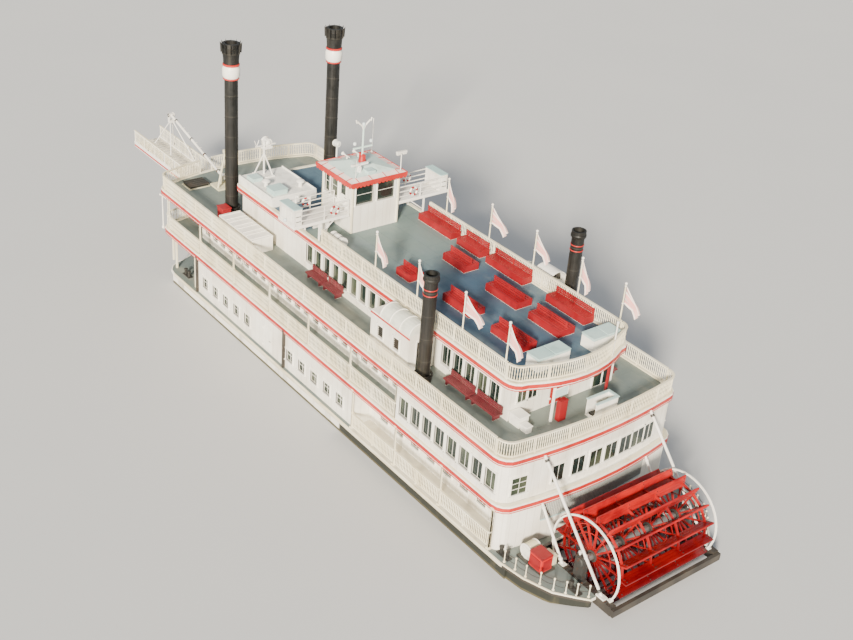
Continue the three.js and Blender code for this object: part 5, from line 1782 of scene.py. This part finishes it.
@dataclass
class Doors:
    """Panels, lights and handles on the hinged leaves."""

    finishes: Finishes

    def build(self) -> None:
        """Dresses every leaf."""
        for side in Side:
            s, tag = side.value, side.tag
            body = f"gangway_door_{tag}"
            face = 6.722 * s
            self.plant(f"gangway_panels_{tag}", body, (face, face + 0.012 * s), 0.008,
                ((4.46, 5.24, 1.4, 2.1), (4.46, 5.24, 2.25, 3.05)))
            self.plant(f"gangway_stiles_{tag}", body, (face, face + 0.018 * s), 0.006,
                (*((x, x + 0.06, 1.3, 3.15) for x in (4.34, 5.26)),
                *((4.34, 5.32, z, z + 0.06) for z in (1.3, 2.14, 3.09))))
            self.handle(f"gangway_handle_{tag}", (4.4, face, 2.2), s, body)
            body = f"pilot_door_{tag}"
            face = 1.872 * s
            pane = Shape().box((3.24, 3.76), (face, face + 0.006 * s), (12.6, 13.35))
            pane.piece(f"pilot_door_pane_{tag}", self.finishes.glass, body, "window_glass")
            self.plant(f"pilot_door_stiles_{tag}", body, (face, face + 0.014 * s), 0.006,
                ((3.17, 3.24, 12.53, 13.42), (3.76, 3.83, 12.53, 13.42), (3.17, 3.83, 12.53, 12.6),
                (3.17, 3.83, 13.35, 13.42), (3.2, 3.8, 11.9, 12.35)))
            self.handle(f"pilot_door_handle_{tag}", (3.15, face, 12.45), s, body)
        leaf = Shape()
        for z in ((7.5, 8.2), (8.35, 9.15)):
            for y in ((0.15, 0.45), (0.55, 0.85)):
                leaf.box((-16.616, -16.602), y, z)
        leaf.piece("aft_door_panels", self.finishes.red, "third_aft_door", "door_red", 0.006)
        knob = Shape().turned((-16.602, 0.14, 8.3), (-1.0, 0.0, 0.0),
            ((0.03, 0.0), (0.03, 0.04), (0.05, 0.06), (0.05, 0.09), (0.0, 0.11)), 12)
        knob.piece("aft_door_knob", self.finishes.iron, "third_aft_door", smooth=40.0)

    def plant(self, name: str, body: str, y: Flat, bevel: float, plates: Sequence[Sequence[float]]) -> None:
        """Plants plates, given by x and z, on a side door."""
        shape = Shape()
        for x0, x1, z0, z1 in plates:
            shape.box((x0, x1), y, (z0, z1))
        shape.piece(name, self.finishes.trim, body, "door_paint", bevel)

    def handle(self, name: str, place: Point, side: int, body: str) -> None:
        """A bent bar handle on a side door."""
        x, y, z = place
        bar = Shape().tube([(x, y - 0.01 * side, z), (x, y + 0.05 * side, z), (x + 0.02, y + 0.06 * side, z),
            (x + 0.16, y + 0.06 * side, z)], 0.014, 8)
        bar.piece(name, self.finishes.iron, body, smooth=50.0)


FLANGE = ((0.4, 0), (0.47, 0), (0.48, 0.03), (0.47, 0.06), (0.4, 0.06))
ROPE = tuple((0.435 + 0.028 * math.sin(math.pi * k / 2), 0.1 + 0.015 * k) for k in range(41))
# Machinery and pipes around the wheel.
FANTAIL_GEAR: tuple[Fitting, ...] = (
    Fitting("drum_flanges", "trim", tuple(Spun((-20.95, y, 1.75), FLANGE, TO_PORT, 28, True)
        for y in (4.83, 5.61))),
    Fitting("drum_rope", "olive",
        (Spun((-20.95, 4.83, 1.75), ((0.41, 0.1), *ROPE, (0.41, 0.7)), TO_PORT, 20, True),), bevel=0),
    Fitting("winch_cover", "bench", (Block(-22.42, -21.38, 4.98, 5.82, 2.182, 2.28),
        Block(-22.3, -21.5, 5.802, 5.85, 1.4, 2.08), Block(-22.45, -22.402, 5.1, 5.7, 1.4, 2.08))),
    Fitting("fantail_box", "olive", (Block(-22.2, -21.5, 4.42, 4.8, 1.2, 1.75),
        Block(-22.25, -21.45, 4.38, 4.84, 1.75, 1.82))),
    Pair("well_braces", "steel",
        (Spun((-22.23, 4.12, 1.37), ((0.082, 0), (0.12, 0.02), (0.12, 0.12), (0.082, 0.16)), (2.45, 0, 3.15),
        16, True), Spun((-20.4, 4.12, 3.72), ((0.082, 0), (0.11, 0.02), (0.11, 0.12), (0.082, 0.16)),
        (2.45, 0, 3.15), 16, True))),
    Pair("strut_feet", "iron",
        (Spun((-25.34, 4.14, 1.38), ((0.09, 0), (0.14, 0.02), (0.14, 0.14), (0.09, 0.2)), (5.64, 0, 5.86), 16,
        True), Spun((-20.15, 4.14, 6.8), ((0.09, 0), (0.13, 0.02), (0.13, 0.14), (0.09, 0.16)),
        (5.64, 0, 5.86), 16, True))),
    Pair("bearing_caps", "iron",
        (Spun((-23.7, 4.3, 2.4), ((0, 0), (0.3, 0), (0.3, 0.05), (0.24, 0.09), (0, 0.09)), TO_PORT, 24),
        Block(-24.2, -23.2, 3.98, 4.34, 1.2, 1.32))),
    Pair("grease_cups", "steel",
        tuple(Spun((x, 4.12, 2.7), ((0, 0), (0.06, 0), (0.06, 0.12), (0.1, 0.14), (0.1, 0.24), (0, 0.27)),
        sides=14) for x in (-23.9, -23.5))),
    Pair("beam_irons", "iron", tuple(Block(x - 0.09, x + 0.09, 3.9, 4.34, 1.2, 1.23)
        for x in (-25.9, -25, -22.9, -21.6))),
    Pair("rudder_straps", "iron", tuple(Block(-20.1, -18.3, 2.505, 2.695, z, z + 0.1)
        for z in (-1.35, -0.75)), body="rudder_{side}"),
)

SEARCHLIGHTS = ((12.655, 2.35, 13.1, 0.3), (12.604, -3.6, 11.85, 0.24))
# Davit, hatch, posts and searchlights ahead.
FOREDECK_GEAR: tuple[Fitting, ...] = (
    Pair("davit_blocks", "steel",
        (*(Spun((x, y, 6.72), ((0, 0), (0.06, 0.02), (0.06, 0.1), (0, 0.12)), sides=10)
        for x, y in ((19.5, 6.75), (20.3, 6.81))),
        Spun((19.9, 6.84, 4.2), ((0.05, 0), (0.11, 0.02), (0.11, 0.14), (0.05, 0.2)), sides=14,
        closed=True))),
    Fitting("hatch_lid", "black", (Block(18.84, 20.06, 3.44, 5.06, 7.562, 7.62),
        *(Block(x, x + 0.06, 3.5, 5, 7.62, 7.65) for x in (19, 19.3, 19.6, 19.9)))),
    Fitting("hatch_rim", "olive", (Block(18.8, 20.1, 3.4, 5.1, 7.34, 7.4),)),
    Pair("fore_posts", "rail", tuple(Block(x - 0.07, x + 0.07, y - 0.07, y + 0.07, z, z + 2.9)
        for x, y, z in ((20, 6, 1.2), (18.7, 6.4, 1.2), (15.3, 6.6, 1.2))), slot="rail_paint"),
    *(Fitting(f"searchlight_{i}", "steel",
        (Spun((x, y, z), ((r, -0.3 * r), (1.12 * r, -0.2 * r), (1.12 * r, 0.1 * r), (r, 0.15 * r)), AHEAD, 24,
        True), Spun((x - 1.55 * r, y, z), ((0, -0.35 * r), (0.45 * r, -0.25 * r), (0.6 * r, 0), (0, 0)),
        AHEAD, 20))) for i, (x, y, z, r) in enumerate(SEARCHLIGHTS)),
    *(Fitting(f"searchlight_glass_{i}", "lamp",
        (Spun((x + 0.004, y, z), ((0, 0), (0.92 * r, 0), (0.8 * r, 0.1 * r), (0, 0.16 * r)), AHEAD, 20),))
        for i, (x, y, z, r) in enumerate(SEARCHLIGHTS)),
    Pair("side_posts", "timber", tuple(Block(x - 0.09, x + 0.09, 6.725, 6.9, 1.2, 4.13)
        for x in (14.7, 2.62))),
    Fitting("capstan", "iron",
        (Spun((16.6, 0, 1.2), ((0, 0), (0.45, 0), (0.42, 0.12), (0.24, 0.2), (0.22, 0.6), (0.34, 0.78),
        (0.34, 0.9), (0, 0.94)), sides=24),)),
    Fitting("foredeck_locker", "bench", (Block(13.05, 13.95, 4.8, 5.55, 8.202, 8.27),)),
)

HOOD_ARCH = tuple((5.35 + 0.76 * math.cos(math.pi * i / 16), 9.86 + 0.7 * math.sin(math.pi * i / 16))
    for i in range(17))
# Boxes, posts and the stair coaming aft, and canopies on the stair houses.
THIRD_GEAR: tuple[Fitting, ...] = (
    Fitting("aft_box_lids", "trim", (Block(-17.55, -16.65, 3.3, 4.1, 8.002, 8.06),
        Block(-18.14, -17.56, 3.56, 4.04, 7.702, 7.76))),
    Fitting("aft_board", "teal", (Block(-17.99, -17.943, 1.05, 2.02, 8.95, 9.5),)),
    Fitting("aft_board_rail", "trim", (Block(-18, -17.94, 0.98, 2.04, 9.5, 9.56),
        Block(-17.99, -17.95, 1, 1.05, 8.95, 9.92))),
    Fitting("aft_cabinet", "bench", (Block(-18.2, -17.86, 1.12, 1.66, 7.36, 8.66),
        Block(-18.22, -17.84, 1.1, 1.68, 8.66, 8.71), Block(-18.18, -17.88, 1.15, 1.63, 7.341, 7.36)),
        bevel=0.02),
    Fitting("aft_dark_doors", "glass", (Block(-16.64, -16.602, -3.9, -2.45, 7.42, 9.2),), bevel=0),
    Fitting("aft_door_frames", "trim",
        (*(Block(-16.67, -16.602, y - 0.05, y + 0.05, 7.352, 9.3) for y in (-3.95, -3.175, -2.4)),
        Block(-16.67, -16.602, -3.9, -2.45, 9.2, 9.3))),
    Fitting("stair_hood", "trim",
        (Spun((-9.83, -5.42, 10.3), ((0.79, 0), (0.84, 0), (0.84, 1.5), (0.79, 1.5)), AHEAD, 32, True),),
        slot="wall_paint"),
    # A black disc set inside the hood: painted shade in its hollow.
    Fitting("stair_hood_dark", "black",
        (Spun((-9.3, -5.42, 10.3), ((0, 0), (0.79, 0), (0.79, 0.06), (0, 0.06)), AHEAD, 32),), bevel=0),
    # The coaming's pale teal cap is painted shade over its white.
    Fitting("stair_coaming_cap", "teal",
        (*(Block(x, x + 0.18, -1.95, -0.15, 8.422, 8.48) for x in (-19.25, -18.55)),
        Block(-19.07, -18.55, -1.95, -1.77, 8.422, 8.48))),
    Fitting("stair_steps", "black",
        tuple(Block(-19.11, -18.51, -0.62 - 0.3 * i, -0.36 - 0.3 * i, 7.342, 7.52 - 0.04 * i)
        for i in range(4))),
    Pair("stair_doors", "trim", (Block(-9.84, -9.802, 4.55, 5.55, 9.34, 9.44),
        Block(-9.84, -9.802, 4.5, 4.6, 7.36, 9.4), Block(-9.84, -9.802, 5.5, 5.6, 7.36, 9.4)),
        slot="wall_paint"),
    *(Pair(f"stair_trim_{i}", "trim", (Block(x - 0.38, x - 0.3, 6.102, 6.15, 8.32, 9.28),
        Block(x + 0.3, x + 0.38, 6.102, 6.15, 8.32, 9.28), Block(x - 0.42, x + 0.42, 6.102, 6.16, 9.2, 9.28),
        Block(x - 0.42, x + 0.42, 6.102, 6.18, 8.32, 8.4)), slot="wall_paint")
        for i, x in enumerate((-7, -8.6))),
    *(Pair(f"stair_louvres_{i}", "black",
        tuple(Block(x - 0.3, x + 0.3, 6, 6.06, 8.44 + 0.13 * k, 8.51 + 0.13 * k) for k in range(6)))
        for i, x in enumerate((-7, -8.6))),
    Pair("hood_ribs", "trim", tuple(Bar(tuple((x, y, z) for y, z in HOOD_ARCH), 0.035)
        for x in (-9.78, -8.83, -7.87, -6.92))),
    Pair("stair_string", "red", (Block(-9.86, -5.94, 6.102, 6.13, 9.66, 9.78),), slot="door_red"),
)

# Bins, rafts, the stern pole and the air pipes.
TOP_GEAR: tuple[Fitting, ...] = (
    Fitting("bin_lids", "teal", tuple(Block(-16.83, -15.77, y0, y1, 10.952, 11)
        for y0, y1 in ((0.02, 1.22), (1.27, 2.48), (-3.98, -2.9), (-2.86, -1.77))), bevel=0.02),
    Fitting("raft_bands", "trim",
        tuple(Spun((x, y, 10.75), ((0.335, 0), (0.365, 0.01), (0.365, 0.08), (0.335, 0.09)), AHEAD, 20, True)
        for x0, y in ((0.55, 3.75), (3.35, 3.3)) for x in (x0 + 0.02, x0 + 0.585, x0 + 1.15))),
    Fitting("raft_straps", "black",
        tuple(Spun((x, y, 10.75), ((0.335, 0), (0.352, 0.005), (0.352, 0.045), (0.335, 0.05)), AHEAD, 20,
        True) for x0, y in ((0.55, 3.75), (3.35, 3.3)) for x in (x0 + 0.3, x0 + 0.9))),
    Fitting("stern_pole", "steel", (Bar(((-17.67, -2.55, 10.14), (-17.67, -2.55, 12.3)), 0.05),
        Spun((-17.67, -2.55, 12.28), ((0, 0), (0.09, 0.03), (0.09, 0.13), (0, 0.18)), sides=12))),
    Fitting("fore_lockers", "teal",
        (Block(8.7, 9.7, 2.9, 4, 10.752, 11.1), Block(11.3, 12.2, 3.3, 4.1, 10.752, 11),
        Block(8.66, 9.74, 2.86, 4.04, 11.1, 11.15)), bevel=0.02),
    Fitting("fore_vents", "steel",
        tuple(Spun((x, y, 10.752), ((0, 0), (0.14, 0), (0.14, 0.34), (0.3, 0.36), (0.3, 0.44), (0.16, 0.54),
        (0, 0.57)), sides=18) for x, y in ((10.4, 3.6), (9.3, 1.5)))),
    Fitting("fore_coaming", "trim", (Block(8.32, 12.78, 4.3, 4.376, 10.752, 10.85),
        Block(8.304, 8.38, 0.82, 4.376, 10.752, 10.85), Block(8.32, 12.78, 0.804, 0.88, 10.752, 10.85)),
        slot="wall_paint"),
    Fitting("air_pipes", "trim",
        tuple(Bar(((x, y, 10.13), (x, y, 10.9), (x - 0.06, y, 11.02), (x - 0.2, y, 11.05),
        (x - 0.3, y, 10.98)), 0.08) for x, y in ((6.9, -2.6), (7.6, 2.9), (9.2, -3.4)))),
)

# Consoles and floor edges of the bridge wings.
WING_GEAR: tuple[Fitting, ...] = (
    Pair("wing_edges", "trim", (Block(2.54, 2.598, 2, 6.2, 11.4, 11.6),
        Block(4.402, 4.46, 2, 6.2, 11.4, 11.6), Block(2.54, 4.46, 6.202, 6.26, 11.4, 11.6)),
        slot="wall_paint"),
    # The consoles' pale teal lids are painted shade on their white tops.
    Pair("wing_lids", "teal", (Block(2.6, 4.4, 5.56, 6.24, 12.702, 12.76),), bevel=0.03),
    Pair("wing_panels", "trim", (Block(2.61, 2.645, 5.7, 6.1, 11.75, 12.5),
        Block(2.9, 3.4, 6.202, 6.23, 11.8, 12.5), Block(3.6, 4.1, 6.202, 6.23, 11.8, 12.5)),
        slot="wall_paint"),
    Pair("wing_lamps", "lamp",
        (Spun((3.5, 6.26, 11.75), ((0, 0), (0.12, 0.02), (0.12, 0.14), (0, 0.2)), TO_PORT, 14),)),
    Pair("wing_knees", "steel", tuple(Bar(((x, 4.25, 10.5), (x, 3.1, 11.4)), 0.045) for x in (2.65, 4.35))),
)

POST = ((0, 0), (0.11, 0), (0.11, 0.34), (0.15, 0.38), (0.15, 0.44), (0, 0.47))
# Mooring bitts along the main deck.
BITTS: tuple[Fitting, ...] = tuple(Pair(f"bitts_{i}", "black",
    (*(Spun((x + step, y, MAIN_Z + 0.05), POST, sides=16) for step in (-0.25, 0.25)),
    Block(x - 0.5, x + 0.5, y - 0.18, y + 0.18, MAIN_Z, MAIN_Z + 0.06)))
    for i, (x, y) in enumerate(((17.2, 6.3), (-20.1, 6.45), (-24.3, 5.05))))


@dataclass
class Fitout:
    """Deck gear, posts, boxes, canopies and pipes, by deck."""

    finishes: Finishes
    gear: tuple[Fitting, ...] = (*FANTAIL_GEAR, *FOREDECK_GEAR, *THIRD_GEAR, *TOP_GEAR, *WING_GEAR, *BITTS)

    def build(self) -> None:
        """Makes every fitting and the repeated ones."""
        for fitting in self.gear:
            fitting.build(self.finishes)
        self.slats()
        self.stanchions()
        self.fantail_rail()
        self.life_rings()
        self.lids()

    def slats(self) -> None:
        """Grey upright slats on the main cabin's aft wall, between two rails."""
        line = []
        for i in range(25):
            y = 4.0 - 8.0 * i / 24
            share = y / (SECOND.half - SECOND.aft_corner)
            line.append((SECOND.aft + 0.1 - SECOND.aft_bow * (1 - share * share) - 0.022, y, 0.0))
        grow("aft_wall_slats", uprights(self.finishes.grey), self.finishes.grey, line=polyline(line),
            Spacing=0.125, Size=(0.036, 0.075, 1.3), Lift=(0.0, 0.0, 3.35))
        frame = Shape()
        outer = [(x - 0.03, y) for x, y, _ in line]
        inner = [(x + 0.021, y) for x, y, _ in line]
        for low, high in ((2.62, 2.7), (3.98, 4.06)):
            frame.ribbon(outer, inner, (low, high), False)
        frame.piece("aft_wall_rails", self.finishes.teal, bevel=0.01)

    def stanchions(self) -> None:
        """Slender posts with caps and feet along the open walkways."""
        graph = Graph("Stanchions")
        tall = graph.size("Tall", 2.9)
        parts = [graph.bar(size, (0.0, 0.0, height)) for size, height in (
            ((0.1, 0.1, tall), graph.times(tall, 0.5)), ((0.2, 0.2, 0.08), 0.04), ((0.16, 0.16, 0.05), 1.16),
            ((0.2, 0.2, 0.1), graph.less(tall, 0.05)), ((0.36, 0.08, 0.08), graph.less(tall, 0.14)))]
        graph.lined(graph.join(parts), self.finishes.rail)
        for side in Side:
            for name, height, x, y, count, gap, floor in (("main", 2.9, -19.12, 6.815, 4, 4.5133, MAIN_Z),
                    ("second", 2.78, -9.72, 6.675, 7, 4.8183, SECOND_Z)):
                grow(f"stanchions_{name}_{side.tag}", graph, self.finishes.rail, slot="rail_paint",
                    Count=count, Tall=height, First=(x, side.value * y, floor), Step=(gap, 0.0, 0.0))

    def fantail_rail(self) -> None:
        """Low stanchions and a sagging chain round the fantail arms."""
        graph = Graph("Chain")
        spaced = graph.along(0.09)
        circle = graph.add("CurvePrimitiveCircle", {"Resolution": 6, "Radius": 0.042}).outputs[0]
        wire = graph.add("CurvePrimitiveCircle", {"Resolution": 4, "Radius": 0.012}).outputs[0]
        link = graph.add("CurveToMesh", {"Curve": circle, "Profile Curve": wire}).outputs[0]
        link = graph.add("Transform", {"Geometry": link, "Scale": (1.0, 0.6, 1.0)}).outputs[0]
        turn = graph.vector(graph.times(graph.index(), math.pi / 2), 0.0, 0.35)
        graph.close(graph.repeat(spaced, link, turn), self.finishes.iron)
        for side in Side:
            points = mirrored([(-20.5, 6.78), (-21.3, 6.68), (-22.05, 6.57), (-22.9, 6.28), (-23.65, 5.98),
                (-24.2, 5.58), (-24.65, 5.18), (-25.1, 4.72)], side)
            posts = Shape()
            for x, y in points:
                posts.turned((x, y, MAIN_Z), UP, ((0.0, 0.0), (0.08, 0.0), (0.08, 0.04), (0.035, 0.06),
                    (0.035, 0.72), (0.06, 0.75), (0.06, 0.82), (0.0, 0.86)), 10)
            posts.piece(f"fantail_posts_{side.tag}", self.finishes.rail, slot="rail_paint", smooth=40.0)
            for low in (0.78, 0.4):
                sag = []
                for (ax, ay), (bx, by) in zip(points, points[1:]):
                    for k in range(6):
                        t = k / 6
                        drop = 0.3 * t * (1 - t)
                        sag.append((ax + (bx - ax) * t, ay + (by - ay) * t, MAIN_Z + low - drop))
                sag.append((*points[-1], MAIN_Z + low))
                grow(f"fantail_chain_{side.tag}_{int(low * 100)}", graph, self.finishes.iron,
                    line=polyline(sag))

    def life_rings(self) -> None:
        """Rings in white and red quarters on the bridge wings' rails."""
        arcs = (("a", self.finishes.trim, 0.0, 0.9, 6, 0.072),
            ("b", self.finishes.bench, 0.9, math.pi / 2 - 0.9, 4, 0.076))
        for i, (x, y) in enumerate(((4.5, -4.1), (4.5, 4.1), (2.5, -3.2), (2.5, 3.2))):
            for tag, finish, start, sweep, steps, radius in arcs:
                shape = Shape()
                for quarter in range(4):
                    turns = [math.pi / 2 * quarter + start + sweep * k / steps for k in range(steps + 1)]
                    shape.tube([(x, y + 0.28 * math.cos(t), 12.15 + 0.28 * math.sin(t)) for t in turns],
                        radius, 10)
                shape.piece(f"life_ring_{i}_{tag}", finish, smooth=50.0)

    def lids(self) -> None:
        """Lids with battens on the walkway lockers."""
        graph = Graph("Lids")
        parts = [graph.bar((1.1, 1.66, 0.06), (0.0, 0.0, 0.03))]
        parts += [graph.bar((0.08, 1.5, 0.04), (x, 0.0, 0.08)) for x in (-0.35, 0.35)]
        parts += [graph.bar((0.18, 0.03, 0.05), (0.0, y, -0.1)) for y in (0.845, -0.845)]
        graph.lined(graph.join(parts), self.finishes.trim)
        for side in Side:
            grow(f"locker_lids_{side.tag}", graph, self.finishes.trim, slot="wall_paint", Count=4,
                First=(8.175, side.value * 5.5, 8.352), Step=(1.15, 0.0, 0.0))


def main() -> None:
    """Loads the frame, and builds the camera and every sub-assembly in order."""
    logging.basicConfig(level=logging.INFO, format="%(message)s", stream=sys.stdout)
    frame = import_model()
    Studio().build()
    finishes = Finishes()
    rails = Balustrades(finishes)
    for assembly in (Solids(finishes, frame), DeckEdges(finishes), rails, Windows(finishes),
            AftWindows(finishes), Stacks(finishes), Wheel(finishes),
            PilotHouse(finishes, Windows(finishes, casing=0.07)), Seats(finishes), Flags(finishes),
            LandingStage(finishes, rails), Doors(finishes), Fitout(finishes)):
        assembly.build()
        LOG.info("built %s", type(assembly).__name__)


if __name__ == "__main__":
    main()
